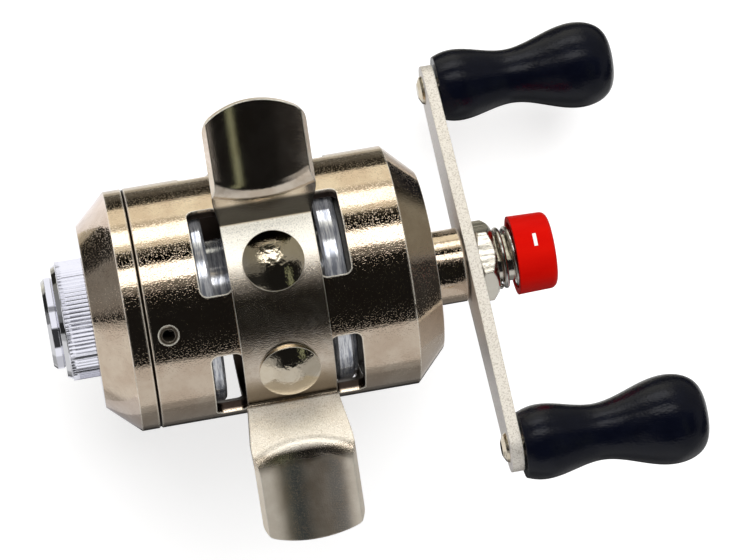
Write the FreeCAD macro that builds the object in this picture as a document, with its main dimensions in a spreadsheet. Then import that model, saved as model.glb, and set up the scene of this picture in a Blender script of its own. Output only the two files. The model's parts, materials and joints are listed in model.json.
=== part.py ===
"""Closed-face ice fishing reel with an eccentric two-knob crank, a release button and a stamped rod foot.

Millimetres. +X runs along the reel axis from the nose to the crank, +Y along the fishing rod, +Z up out of
the foot. The origin is the rod seat: the lowest line of the foot's two troughs, over the middle of the barrel.
"""

import FreeCAD
import Part
import math
import os
import re
import Sketcher

Vector = FreeCAD.Vector

# Driving sizes: name, value and what it measures.
SIZES = [
    ("barrel_radius", 20.0, "outside of the barrel"),
    ("barrel_wall", 1.8, "barrel wall"),
    ("barrel_half_length", 21.6, "foot centre to either edge of the straight barrel"),
    ("edge_break", 0.3, "small chamfers on turned edges"),
    ("rear_bevel_length", 4.9, "rear bevel along the axis"),
    ("rear_face_radius", 15.0, "flat rear face"),
    ("rear_wall", 2.0, "rear wall"),
    ("ledge_height", 1.0, "step in the bore that the deck plate sits on"),
    ("cover_rim_length", 3.1, "straight rim of the front cover"),
    ("cover_bevel_length", 5.3, "bevel of the front cover along the axis"),
    ("cover_face_radius", 15.2, "flat face of the front cover"),
    ("cover_wall", 1.8, "front cover wall"),
    ("spigot_length", 5.0, "part of the front cover inside the barrel"),
    ("spigot_wall", 1.3, "wall of that part"),
    ("fit_gap", 0.05, "radial clearance of running and push fits"),
    ("body_gap", 0.3, "clearance between parts that pass each other"),
    ("overrun", 1.0, "how far a cutting shape runs past what it cuts"),
    ("window_near", 7.2, "foot centre to the near edge of a window"),
    ("window_width", 5.1, "window along the axis"),
    ("window_sweep", 44.4, "window round the barrel, degrees"),
    ("window_upper_angle", 36.8, "foot to the middle of an upper window, degrees"),
    ("window_lower_angle", 115.0, "foot to the middle of a lower window, degrees"),
    ("window_corner", 1.2, "window corner radius"),
    ("pin_setback", 3.2, "front edge of the barrel to the cover pin"),
    ("pin_radius", 1.5, "cover pin"),
    ("pin_bore_radius", 1.05, "hole in the cover pin"),
    ("nose_spigot_radius", 8.0, "nose ring's part in the cover"),
    ("nose_radius", 9.9, "nose ring over its knurl"),
    ("nose_length", 5.3, "nose ring in front of the cover"),
    ("nose_bevel", 0.75, "bevel at the nose ring's front edge"),
    ("knurl_length", 4.4, "knurl along the axis"),
    ("knurl_depth", 0.32, "depth of a knurl groove"),
    ("knurl_count", 86, "grooves round the nose ring"),
    ("guide_radius", 7.6, "lip of the line guide"),
    ("guide_lip_length", 1.95, "lip of the line guide along the axis"),
    ("guide_shank_radius", 5.6, "shank of the line guide in the nose ring"),
    ("guide_bore_radius", 4.0, "hole that the line leaves by"),
    ("guide_flare", 1.4, "rounding of that hole at either end"),
    ("foot_thickness", 1.5, "sheet of the foot"),
    ("seat_rise", 0.7, "top of the saddle up to the bottom of the foot's troughs"),
    ("foot_seat_gap", 0.1, "foot's saddle over the barrel"),
    ("foot_half_length", 36.7, "half the length of the foot"),
    ("foot_shift", -0.5, "middle of the foot's length from the middle of the barrel"),
    ("foot_half_width", 8.35, "half the width of a foot end"),
    ("saddle_half_width", 7.4, "half the width over the barrel"),
    ("saddle_wrap", 43.0, "foot centre to the end of the saddle, degrees"),
    ("riser_angle", 48.0, "slope of the riser, degrees"),
    ("foot_bend_radius", 0.3, "inside of the bend between saddle and riser"),
    ("crest_radius", 3.5, "outside of the bend between riser and trough"),
    ("foot_widening", 20.6, "barrel's middle to where the full width starts"),
    ("trough_depth", 2.5, "depth of a foot end's trough"),
    ("tip_bulge", 2.6, "rounding of a foot tip along the rod"),
    ("tip_corner", 3.0, "corner radius of a foot tip"),
    ("rivet_angle", 25.0, "foot centre to a foot rivet, degrees"),
    ("rivet_head_radius", 5.0, "domed head of a foot rivet"),
    ("rivet_head_height", 1.8, "height of that head"),
    ("rivet_rim_height", 0.35, "rim of that head"),
    ("rivet_shank_radius", 2.0, "shank of a foot rivet"),
    ("rivet_tail_radius", 3.0, "set end of a foot rivet inside the barrel"),
    ("rivet_tail_height", 0.7, "height of that end"),
    ("boss_wall", 1.2, "wall of the rear boss"),
    ("boss_length", 5.8, "rear boss behind the rear face"),
    ("bush_wall", 0.95, "wall of the crank bush"),
    ("shaft_radius", 4.0, "crank shaft"),
    ("shaft_flats", 6.4, "crank shaft across its flats"),
    ("shaft_neck_radius", 3.0, "crank shaft through the ring gear"),
    ("shaft_head_radius", 3.6, "riveted end of the crank shaft"),
    ("shaft_head_length", 0.4, "thickness of that end"),
    ("thread_length", 4.2, "crank shaft behind the nut"),
    ("washer_width", 3.7, "thrust washer from its hole to its edge"),
    ("washer_thickness", 0.7, "thrust washer"),
    ("tooth_module", 0.4, "pitch diameter over tooth count"),
    ("pressure_angle", 20.0, "gear teeth, degrees"),
    ("addendum", 0.8, "tooth tip beyond the pitch circle, in modules"),
    ("dedendum", 1.2, "tooth root behind the pitch circle, in modules"),
    ("ring_teeth", 45, "teeth of the ring gear"),
    ("pinion_teeth", 36, "teeth of the pinion"),
    ("tooth_backlash", 0.2, "play between the teeth, along the pitch circle"),
    ("tooth_length", 4.2, "gear teeth along the axis"),
    ("ring_rim", 1.6, "rim of the ring gear outside its teeth"),
    ("ring_web", 1.2, "web of the ring gear"),
    ("ring_bevel", 1.6, "bevel at the back edge of the ring gear"),
    ("ring_relief", 1.7, "space between the ring gear's web and its teeth"),
    ("arm_thickness", 2.0, "crank arm"),
    ("arm_half_length", 34.9, "crank axis to a knob axis"),
    ("arm_hub_wall", 2.3, "crank arm beside the shaft"),
    ("arm_end_radius", 4.1, "crank arm's rounded ends"),
    ("crank_rest_angle", 44.0, "crank arm to the foot's plane at rest, degrees"),
    ("nut_flats", 12.0, "nut across flats"),
    ("nut_thickness", 3.0, "nut"),
    ("nut_bevel", 0.5, "nut's corner bevel next to the arm, along the axis"),
    ("nut_crown", 1.2, "nut's rounding at its back, along the axis"),
    ("nut_face_radius", 5.6, "flat round face at the nut's back"),
    ("nut_angle", 12.0, "nut to the crank arm, degrees"),
    ("knob_rivet_head_radius", 2.5, "head of a knob rivet"),
    ("knob_rivet_head_height", 1.0, "height of that head"),
    ("knob_rivet_shoulder", 2.25, "radius of that head at half its height"),
    ("knob_rivet_radius", 1.9, "knob rivet"),
    ("knob_rivet_length", 20.0, "knob rivet inside the knob"),
    ("knob_collar_height", 0.7, "snap collar near the end of a knob rivet"),
    ("knob_collar_length", 1.4, "snap collar along the axis"),
    ("knob_length", 30.4, "knob"),
    ("knob_mouth_radius", 5.4, "knob's inner end"),
    ("knob_inner_radius", 6.1, "bulge next to the arm"),
    ("knob_inner_place", 2.6, "knob's inner end to that bulge"),
    ("knob_waist_radius", 4.65, "waist"),
    ("knob_waist_place", 12.4, "knob's inner end to the waist"),
    ("knob_outer_radius", 7.3, "outer bulge"),
    ("knob_outer_place", 25.4, "knob's inner end to the outer bulge"),
    ("knob_shoulder_radius", 6.0, "start of the outer end's rounding"),
    ("knob_end_rounding", 1.5, "that rounding along the axis"),
    ("knob_end_radius", 3.4, "flat of the knob's outer end"),
    ("button_taper", 0.15, "release button's closed end inside its open end"),
    ("button_draft", 0.2, "taper of the button's bore"),
    ("button_length", 6.6, "release button"),
    ("button_place", 3.2, "nut to the button at rest"),
    ("button_wall", 1.0, "button's side wall"),
    ("button_floor", 1.5, "button's closed end"),
    ("button_edge", 1.2, "rounding of the button's closed end"),
    ("button_hub_radius", 3.2, "button round the push rod"),
    ("button_hub_length", 1.0, "button round the push rod, along the axis"),
    ("button_travel", 2.8, "press of the button"),
    ("mark_length", 2.2, "index mark round the button"),
    ("mark_width", 0.6, "index mark along the axis"),
    ("mark_depth", 0.4, "index mark"),
    ("mark_place", 3.4, "open end of the button to the index mark"),
    ("mark_angle", -11.0, "index mark from the middle of the crank, towards the lower knob, degrees"),
    ("spring_wire", 0.9, "button spring wire"),
    ("spring_play", 0.3, "button spring to the crank shaft"),
    ("spring_room", 0.4, "button spring to the button's wall"),
    ("spring_turns", 3.25, "button spring"),
    ("spring_bend", 1.0, "bend at either end of a spring"),
    ("spring_seat_gap", 0.02, "either end of a spring to its seat"),
    ("push_rod_radius", 1.5, "push rod"),
    ("push_rod_seat", 1.0, "push rod in the button's closed end"),
    ("deck_thickness", 2.0, "deck plate"),
    ("deck_place", 10.9, "rear face back to the ledge under the deck plate"),
    ("hub_radius", 7.8, "tube that the spool turns on"),
    ("hub_wall", 2.8, "wall of that tube"),
    ("hub_overhang", 1.6, "tube in front of the spool"),
    ("snap_ring_thickness", 0.7, "deck snap ring"),
    ("snap_ring_depth", 0.6, "snap ring in its groove"),
    ("snap_ring_height", 1.3, "snap ring inside the bore"),
    ("snap_ring_opening", 8.0, "opening of the snap ring"),
    ("drag_thickness", 1.6, "felt drag washer"),
    ("drag_margin", 2.3, "edge of the drag washer inside the spool's edge"),
    ("clip_thickness", 0.6, "spool clip"),
    ("clip_height", 1.8, "spool clip above the tube"),
    ("clip_groove", 0.8, "depth of its groove"),
    ("spool_gap", 0.9, "spool flanges to the barrel's bore"),
    ("spool_rear_flange", 3.5, "rear flange"),
    ("spool_front_flange", 2.8, "front flange"),
    ("spool_width", 18.3, "between the flanges"),
    ("spool_dish", 0.7, "slope of a flange's inner face"),
    ("drum_wall", 1.45, "wall of the spool drum"),
    ("spool_edge", 0.9, "bevel of a flange's rim"),
    ("sleeve_radius", 3.5, "pinion sleeve"),
    ("sleeve_length", 7.4, "pinion sleeve in front of the teeth"),
    ("pinion_bush_length", 7.0, "pinion bush in the tube"),
    ("pinion_flange_radius", 6.4, "flange of the pinion bush"),
    ("thrust_disc_radius", 4.5, "disc at the rear end of the main shaft"),
    ("thrust_disc_thickness", 0.8, "that disc"),
    ("main_radius", 2.0, "main shaft"),
    ("main_flat_depth", 0.35, "depth of the main shaft's two flats"),
    ("main_step", 0.5, "step in front of the main shaft's full size"),
    ("front_bush_length", 5.0, "main shaft bush"),
    ("collar_height", 2.2, "collar on the main shaft"),
    ("collar_thickness", 0.8, "that collar"),
    ("collar_groove", 0.4, "depth of its groove"),
    ("return_length", 13.0, "return spring at rest"),
    ("return_wire", 0.7, "return spring wire"),
    ("return_play", 0.95, "return spring to the main shaft"),
    ("return_turns", 6.25, "return spring"),
    ("head_gap", 1.05, "pickup pin to the front cover"),
    ("head_wall", 2.0, "spinner head"),
    ("head_skirt", 7.1, "straight skirt of the spinner head"),
    ("head_cone", 3.6, "cone of the spinner head along the axis"),
    ("head_nose_radius", 6.0, "flat front of the spinner head"),
    ("head_hub_radius", 5.0, "hub of the spinner head"),
    ("head_hub_length", 6.0, "hub of the spinner head"),
    ("spinner_nut_flats", 6.0, "spinner nut across flats"),
    ("spinner_nut_thickness", 1.6, "spinner nut"),
    ("pickup_radius", 0.8, "line pickup pin"),
    ("pickup_reach", 1.3, "pin beyond the spinner head"),
    ("pickup_tail", 2.3, "pin inside the spinner head"),
    ("pickup_place", 3.1, "spinner head's rim to the pin"),
]

# Places and sizes that follow from the driving ones.
DERIVED = {
    "seat_height": "saddle_radius + seat_rise",
    "crank_offset": "tooth_module * (ring_teeth - pinion_teeth) / 2",
    "bush_radius": "shaft_radius + fit_gap + bush_wall",
    "boss_radius": "bush_radius + boss_wall",
    "washer_radius": "shaft_radius + body_gap + washer_width",
    "arm_hub_radius": "shaft_radius + arm_hub_wall",
    "knob_collar_radius": "knob_rivet_radius + knob_collar_height",
    "spring_radius": "shaft_radius + spring_play + spring_wire / 2",
    "button_bore": "spring_radius + spring_wire / 2 + spring_room",
    "button_radius": "button_bore + button_wall",
    "button_end_radius": "button_radius - button_taper",
    "hub_bore_radius": "hub_radius - hub_wall",
    "spool_radius": "bore_radius - spool_gap",
    "drag_radius": "spool_radius - drag_margin",
    "clip_radius": "hub_radius + clip_height",
    "drum_radius": "hub_radius + fit_gap + drum_wall",
    "main_flats": "2 * (main_radius - main_flat_depth)",
    "main_front_radius": "main_radius - main_step",
    "collar_radius": "main_radius + collar_height",
    "return_radius": "main_radius + return_play + return_wire / 2",
    "head_radius": "spigot_bore - pickup_reach - head_gap",
    "bore_radius": "barrel_radius - barrel_wall",
    "seam": "-barrel_half_length",
    "pin_place": "seam + pin_setback",
    "rear_edge": "barrel_half_length",
    "rear_face": "rear_edge + rear_bevel_length",
    "rear_inside": "rear_face - rear_wall",
    "rear_slope": "(barrel_radius - rear_face_radius) / rear_bevel_length",
    "rear_inside_radius": "rear_face_radius + rear_wall * rear_slope - barrel_wall * sqrt(1 + rear_slope * rear_slope)",
    "chamber_radius": "bore_radius - ledge_height",
    "chamber_bevel": "rear_inside - (chamber_radius - rear_inside_radius) / rear_slope",
    "cover_edge": "seam - cover_rim_length",
    "cover_face": "cover_edge - cover_bevel_length",
    "cover_inside": "cover_face + cover_wall",
    "cover_slope": "(barrel_radius - cover_face_radius) / cover_bevel_length",
    "cover_inside_radius": "cover_face_radius + cover_wall * cover_slope"
    " - cover_wall * sqrt(1 + cover_slope * cover_slope)",
    "spigot_radius": "bore_radius - fit_gap",
    "spigot_bore": "spigot_radius - spigot_wall",
    "cover_inside_bevel": "cover_inside + (spigot_bore - cover_inside_radius) / cover_slope",
    "nose_front": "cover_face - nose_length",
    "guide_front": "nose_front - guide_lip_length",
    "saddle_radius": "barrel_radius + foot_seat_gap + foot_thickness",
    "boss_end": "rear_face + boss_length",
    "arm_front": "boss_end + body_gap",
    "arm_back": "arm_front + arm_thickness",
    "nut_back": "arm_back + nut_thickness",
    "shaft_end": "nut_back + thread_length",
    "shaft_start": "rear_inside - washer_thickness - body_gap",
    "web_front": "shaft_start - ring_web",
    "shaft_head_front": "web_front - shaft_head_length",
    "ring_pitch": "tooth_module * ring_teeth / 2",
    "pinion_pitch": "tooth_module * pinion_teeth / 2",
    "ring_tip": "ring_pitch - addendum * tooth_module",
    "ring_root": "ring_pitch + dedendum * tooth_module",
    "ring_radius": "ring_root + ring_rim",
    "teeth_back": "web_front - ring_relief",
    "teeth_front": "teeth_back - tooth_length",
    "deck_back": "rear_face - deck_place",
    "deck_front": "deck_back - deck_thickness",
    "snap_back": "deck_front - fit_gap",
    "snap_front": "snap_back - snap_ring_thickness",
    "drag_front": "deck_front - drag_thickness",
    "spool_back": "drag_front - body_gap",
    "spool_rear_inner": "spool_back - spool_rear_flange",
    "spool_front_inner": "spool_rear_inner - spool_width",
    "spool_front": "spool_front_inner - spool_front_flange",
    "clip_back": "spool_front - body_gap",
    "clip_front": "clip_back - clip_thickness",
    "hub_front": "spool_front - hub_overhang",
    "disc_back": "shaft_head_front - body_gap",
    "disc_front": "disc_back - thrust_disc_thickness",
    "recess_floor": "disc_front - button_travel - body_gap",
    "sleeve_front": "teeth_front - sleeve_length",
    "front_bush_back": "hub_front + front_bush_length",
    "collar_front": "front_bush_back + return_length",
    "collar_back": "collar_front + collar_thickness",
    "head_front": "cover_inside + button_travel + body_gap",
    "head_shoulder": "head_front + head_cone",
    "head_rim": "head_shoulder + head_skirt",
    "nut_recess": "head_front + spinner_nut_thickness + fit_gap",
    "pickup_x": "head_rim - pickup_place",
    "button_front": "nut_back + button_place",
    "button_back": "button_front + button_length",
    "button_inside": "button_back - button_floor",
    "knob_front": "arm_back + body_gap",
    "collar_place": "knob_front + knob_rivet_length - 2 * knob_collar_length",
    "trough_radius": "(foot_half_width * foot_half_width + trough_depth * trough_depth) / (2 * trough_depth)",
}

WORD = re.compile(r"[a-z_]{3,}")
FLARE_STEPS = 5
EDGE_STEPS = 6
LEAST_CUT = 0.01  # mm3

DOC = FreeCAD.newDocument("ice_fishing_reel")
SHEET = DOC.addObject("Spreadsheet::Sheet", "sizes")
for row, (alias, number, meaning) in enumerate(SIZES, start=2):
    SHEET.set(f"A{row}", meaning)
    SHEET.set(f"B{row}", str(number))
    SHEET.setAlias(f"B{row}", alias)
DOC.recompute()
ALIASES = {alias for alias, number, meaning in SIZES}
NODES = {}


def bound(text):
    """Expression over the sheet's cells, with the derived names written out."""
    def swap(match):
        word = match.group()
        if word in DERIVED:
            return "(" + bound(DERIVED[word]) + ")"
        if word in ALIASES:
            return "sizes." + word
        return word
    return WORD.sub(swap, text)


def value(text):
    """Number that an expression has now."""
    return float(SHEET.evalExpression(bound(text)))


def bind(item, **properties):
    """Tie an object's properties to expressions; a double underscore stands for a dot."""
    for name, text in properties.items():
        item.setExpression(name.replace("__", "."), bound(text))


def origin_plane(body, role):
    return next(item for item in body.Origin.OriginFeatures if item.Role == role)


def outline(body, name, role, corners):
    """Closed sketch of straight edges, with each corner held by two bound distances from the origin."""
    sketch = body.newObject("Sketcher::SketchObject", name)
    sketch.AttachmentSupport = [(origin_plane(body, role), "")]
    sketch.MapMode = "FlatFace"
    points = [Vector(value(across), value(up), 0) for across, up in corners]
    count = len(points)
    for index in range(count):
        sketch.addGeometry(Part.LineSegment(points[index], points[(index + 1) % count]))
    for index in range(count):
        sketch.addConstraint(Sketcher.Constraint("Coincident", index, 2, (index + 1) % count, 1))
    for index, (across, up) in enumerate(corners):
        for kind, text, number in (("DistanceX", across, points[index].x), ("DistanceY", up,
                                                                            points[index].y)):
            place = sketch.addConstraint(Sketcher.Constraint(kind, -1, 1, index, 1, number))
            sketch.setExpression(f"Constraints[{place}]", bound(text))
    return sketch


def turned(name, corners):
    """Body turned about the X axis from corners (place along X, radius)."""
    body = DOC.addObject("PartDesign::Body", name)
    sketch = outline(body, name + "_profile", "XY_Plane", corners)
    turn = body.newObject("PartDesign::Revolution", name + "_turn")
    turn.Profile = sketch
    turn.ReferenceAxis = (sketch, ["H_Axis"])
    turn.Angle = 360
    sketch.Visibility = False
    DOC.recompute()
    return body


def plate(name, corners, start, thickness):
    """Body padded along X from a YZ outline."""
    body = DOC.addObject("PartDesign::Body", name)
    sketch = outline(body, name + "_outline", "YZ_Plane", corners)
    pad = body.newObject("PartDesign::Pad", name + "_pad")
    pad.Profile = sketch
    bind(pad, Length=thickness)
    bind(body, Placement__Base__x=start)
    DOC.recompute()
    return body


def rod(name, radius, start, length, y="0", z="0"):
    """Cylinder along X."""
    item = DOC.addObject("Part::Cylinder", name)
    item.Placement = FreeCAD.Placement(Vector(), FreeCAD.Rotation(Vector(0, 1, 0), 90))
    bind(item, Radius=radius, Height=length)
    bind(item, Placement__Base__x=start, Placement__Base__y=y, Placement__Base__z=z)
    return item


def spoke(name, radius, x, start, length, angle="0"):
    """Cylinder that stands on the X axis, leaning from +Z towards +Y by an angle in degrees."""
    item = DOC.addObject("Part::Cylinder", name)
    item.Placement = FreeCAD.Placement(Vector(), FreeCAD.Rotation(Vector(-1, 0, 0), 1))
    bind(item, Radius=radius, Height=length, Placement__Rotation__Angle=angle)
    bind(item, Placement__Base__x=x)
    bind(item, Placement__Base__y=f"({start}) * sin(({angle}) * 1 deg)")
    bind(item, Placement__Base__z=f"({start}) * cos(({angle}) * 1 deg)")
    return item


def block(name, x, y, z, length, width, height):
    """Box from its lowest corner."""
    item = DOC.addObject("Part::Box", name)
    bind(item, Length=length, Width=width, Height=height)
    bind(item, Placement__Base__x=x, Placement__Base__y=y, Placement__Base__z=z)
    return item


def hexagon(name, flats, start, thickness):
    """Hexagonal prism along X, with flats facing -Y and +Y."""
    item = DOC.addObject("Part::Prism", name)
    item.Polygon = 6
    item.Placement = FreeCAD.Placement(Vector(), FreeCAD.Rotation(Vector(0, 1, 0), 90))
    bind(item, Circumradius=f"({flats}) / sqrt(3)", Height=thickness, Placement__Base__x=start)
    return item


def joined(name, *pieces):
    item = DOC.addObject("Part::MultiFuse", name)
    item.Shapes = list(pieces)
    item.Refine = True
    return item


def shared(name, *pieces):
    item = DOC.addObject("Part::MultiCommon", name)
    item.Shapes = list(pieces)
    return item


def less(name, base, *tools):
    """What is left of a piece after its holes and cuts, with its volume compared before and after."""
    item = DOC.addObject("Part::Cut", name)
    item.Base = base
    item.Tool = tools[0] if len(tools) == 1 else joined(name + "_cuts", *tools)
    DOC.recompute()
    if item.Shape.Volume > base.Shape.Volume - LEAST_CUT:
        raise RuntimeError(name + ": a cut removed nothing")
    return item


def formed(name, shape):
    """Shape worked out from the sheet's numbers."""
    item = DOC.addObject("Part::Feature", name)
    item.Shape = shape
    return item


def on_barrel_axis(item, node):
    """Give a finished piece its name and its place round the barrel axis."""
    item.Label = node
    bind(item, Placement__Base__z="-seat_height")
    NODES[node] = item


def on_crank_axis(item, node, turn="0"):
    """Give a finished piece its name and its place round the crank axis, turned from the crank's rest angle."""
    item.Label = node
    item.Placement = FreeCAD.Placement(Vector(), FreeCAD.Rotation(Vector(-1, 0, 0), 1))
    bind(item, Placement__Rotation__Angle=f"crank_rest_angle + {turn}")
    bind(item, Placement__Base__y="-crank_offset", Placement__Base__z="-seat_height")
    NODES[node] = item


def polar(x, radius, angle):
    """Point round the X axis, at an angle in radians from +Y towards +Z."""
    return Vector(x, radius * math.cos(angle), radius * math.sin(angle))


# Barrel: a turned can with a bevelled rear wall, eight windows and a ledge for the deck plate.
def window_cutters():
    """Round-cornered wedges through the wall, two rings of four."""
    reach = value("2 * barrel_wall")
    near = value("window_near")
    width = value("window_width")
    sweep = math.radians(value("window_sweep"))
    middles = [value("window_upper_angle"), value("window_lower_angle")]
    inner = value("bore_radius") - reach
    outer = value("barrel_radius") + reach
    cutters = []
    for middle in [sign * angle for angle in middles for sign in (-1, 1)]:
        centre = math.radians(90 - middle)
        low = centre - sweep / 2
        high = centre + sweep / 2
        edges = [
            Part.Arc(polar(near, inner, low), polar(near, inner, centre), polar(near, inner, high)).toShape(),
            Part.makeLine(polar(near, inner, high), polar(near, outer, high)),
            Part.Arc(polar(near, outer, high), polar(near, outer, centre), polar(near, outer, low)).toShape(),
            Part.makeLine(polar(near, outer, low), polar(near, inner, low)),
        ]
        wedge = Part.Face(Part.Wire(edges)).extrude(Vector(width, 0, 0))
        corners = [edge for edge in wedge.Edges
                   if isinstance(edge.Curve, Part.Line) and abs(edge.tangentAt(edge.FirstParameter).x) < 0.5]
        wedge = wedge.makeFillet(value("window_corner"), corners)
        cutters += [wedge, wedge.mirror(Vector(), Vector(1, 0, 0))]
    return Part.makeCompound(cutters)


barrel = turned("barrel_can", [
    ("seam", "bore_radius"),
    ("seam", "barrel_radius - edge_break"),
    ("seam + edge_break", "barrel_radius"),
    ("rear_edge", "barrel_radius"),
    ("rear_face", "rear_face_radius"),
    ("rear_face", "0"),
    ("rear_inside", "0"),
    ("rear_inside", "rear_inside_radius"),
    ("chamber_bevel", "chamber_radius"),
    ("deck_back", "chamber_radius"),
    ("deck_back", "bore_radius"),
    ("snap_back", "bore_radius"),
    ("snap_back", "bore_radius + snap_ring_depth"),
    ("snap_front", "bore_radius + snap_ring_depth"),
    ("snap_front", "bore_radius"),
])
barrel = less(
    "barrel", barrel,
    formed("windows", window_cutters()),
    rod("boss_hole", "boss_radius + fit_gap / 2", "rear_inside - overrun", "rear_wall + 2 * overrun",
        "-crank_offset"),
    spoke("barrel_pin_hole", "pin_radius + fit_gap", "pin_place", "bore_radius - overrun",
          "barrel_wall + 2 * overrun"),
    spoke("barrel_rivet_hole_front", "rivet_shank_radius + fit_gap", "0", "bore_radius - overrun",
          "barrel_wall + 2 * overrun", "rivet_angle"),
    spoke("barrel_rivet_hole_back", "rivet_shank_radius + fit_gap", "0", "bore_radius - overrun",
          "barrel_wall + 2 * overrun", "-rivet_angle"),
)
on_barrel_axis(barrel, "barrel_housing")

# Front cover: its spigot pushes into the barrel, and a hollow pin locks it.
cover = turned("cover_shell", [
    ("seam + spigot_length", "spigot_bore"),
    ("seam + spigot_length", "spigot_radius"),
    ("seam", "spigot_radius"),
    ("seam", "barrel_radius - edge_break"),
    ("seam - edge_break", "barrel_radius"),
    ("cover_edge", "barrel_radius"),
    ("cover_face", "cover_face_radius"),
    ("cover_face", "nose_spigot_radius + fit_gap"),
    ("cover_inside", "nose_spigot_radius + fit_gap"),
    ("cover_inside", "cover_inside_radius"),
    ("cover_inside_bevel", "spigot_bore"),
])
cover = less("cover", cover, spoke("cover_pin_hole", "pin_radius + fit_gap", "pin_place",
                                   "spigot_bore - overrun", "spigot_wall + 2 * overrun"))
on_barrel_axis(cover, "front_cover")

pin = less(
    "pin",
    spoke("pin_body", "pin_radius", "pin_place", "spigot_bore + fit_gap",
          "barrel_radius - spigot_bore - fit_gap"),
    spoke("pin_bore", "pin_bore_radius", "pin_place", "spigot_bore - overrun", "barrel_radius"),
)
on_barrel_axis(pin, "cover_pin")


# Nose ring: a screw-in ring with a straight knurl and a bevelled front edge.
def knurled_blank():
    """Star-shaped prism as long as the knurl."""
    count = int(value("knurl_count"))
    high = value("nose_radius")
    low = high - value("knurl_depth")
    start = value("cover_face")
    points = []
    for groove in range(count):
        angle = 2 * math.pi * groove / count
        step = math.pi / count
        points += [polar(start, high, angle - step / 2), polar(start, high, angle), polar(start, low, angle + step / 2)]
    outline_wire = Part.makePolygon(points + points[:1])
    return Part.Face(outline_wire).extrude(Vector(-value("knurl_length"), 0, 0))


nose = turned("nose_blank", [
    ("cover_inside + fit_gap", "guide_shank_radius + fit_gap"),
    ("cover_inside + fit_gap", "nose_spigot_radius"),
    ("cover_face", "nose_spigot_radius"),
    ("cover_face", "nose_radius - knurl_depth"),
    ("nose_front + nose_bevel", "nose_radius - knurl_depth"),
    ("nose_front", "nose_radius - nose_bevel"),
    ("nose_front", "guide_shank_radius + fit_gap"),
])
knurl = less("knurl", formed("knurl_star", knurled_blank()),
             rod("knurl_middle", "nose_radius - knurl_depth - overrun / 2", "nose_front - overrun",
                 "nose_length + 2 * overrun"))
on_barrel_axis(joined("nose", nose, knurl), "knurled_nose_ring")


# Line guide: a polished lip ring pressed into the nose ring, its hole flared at both ends.
def quarter_flare(start, direction):
    """Corners of a flare from the full flare radius down to the bore, in straight steps."""
    steps = []
    for step in range(FLARE_STEPS + 1):
        turn = f"{90 - 90 * step / FLARE_STEPS} * 1 deg"
        steps.append((f"{start} {direction} guide_flare * (1 - sin({turn}))",
                      f"guide_bore_radius + guide_flare * (1 - cos({turn}))"))
    return steps


guide = turned("guide", [
    *reversed(quarter_flare("cover_inside + fit_gap", "-")),
    ("cover_inside + fit_gap", "guide_shank_radius"),
    ("nose_front", "guide_shank_radius"),
    ("nose_front", "guide_radius - edge_break"),
    ("nose_front - edge_break", "guide_radius"),
    ("guide_front + 2 * edge_break", "guide_radius"),
    ("guide_front", "guide_radius - 2 * edge_break"),
    *quarter_flare("guide_front", "+"),
])
on_barrel_axis(guide, "line_guide_ring")


# Reel foot: one stamped strip, a saddle over the barrel, two risers and two troughs that take the rod.
def foot_strip():
    """Saddle and risers: a bent strip as wide as the foot, its risers run on past the troughs."""
    thickness = value("foot_thickness")
    upper = value("saddle_radius")
    bend = value("foot_bend_radius")
    wrap = math.radians(value("saddle_wrap"))
    rise = math.radians(value("riser_angle"))
    top = value("seat_height + trough_depth + 4 * overrun")
    half = value("foot_half_width + 2 * overrun")
    centre = Vector(-half, (upper + bend) * math.sin(wrap), (upper + bend) * math.cos(wrap))
    outward = Vector(0, math.sin(wrap), math.cos(wrap))
    along = Vector(0, math.cos(rise), math.sin(rise))
    down = Vector(0, math.sin(rise), -math.cos(rise))
    middle = (down - outward).normalize()

    def side(radius, saddle):
        """Saddle end, bend and riser points of one face of the sheet."""
        start = centre + down * radius
        reach = (top - start.z) / along.z
        return [Vector(-half, 0, saddle), centre - outward * radius, centre + middle * radius,
                start, start + along * reach]

    mirror = FreeCAD.Matrix()
    mirror.A22 = -1
    over = side(bend, upper)
    under = side(bend + thickness, upper - thickness)
    over_left = [mirror.multVec(point) for point in over]
    under_left = [mirror.multVec(point) for point in under]
    edges = [
        Part.makeLine(over_left[4], over_left[3]),
        Part.Arc(over_left[3], over_left[2], over_left[1]).toShape(),
        Part.Arc(over_left[1], over[0], over[1]).toShape(),
        Part.Arc(over[1], over[2], over[3]).toShape(),
        Part.makeLine(over[3], over[4]),
        Part.makeLine(over[4], under[4]),
        Part.makeLine(under[4], under[3]),
        Part.Arc(under[3], under[2], under[1]).toShape(),
        Part.Arc(under[1], under[0], under_left[1]).toShape(),
        Part.Arc(under_left[1], under_left[2], under_left[3]).toShape(),
        Part.makeLine(under_left[3], under_left[4]),
        Part.makeLine(under_left[4], over_left[4]),
    ]
    strip = Part.Face(Part.Wire(edges)).extrude(Vector(2 * half, 0, 0))
    return strip, over[3], along, down


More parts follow.
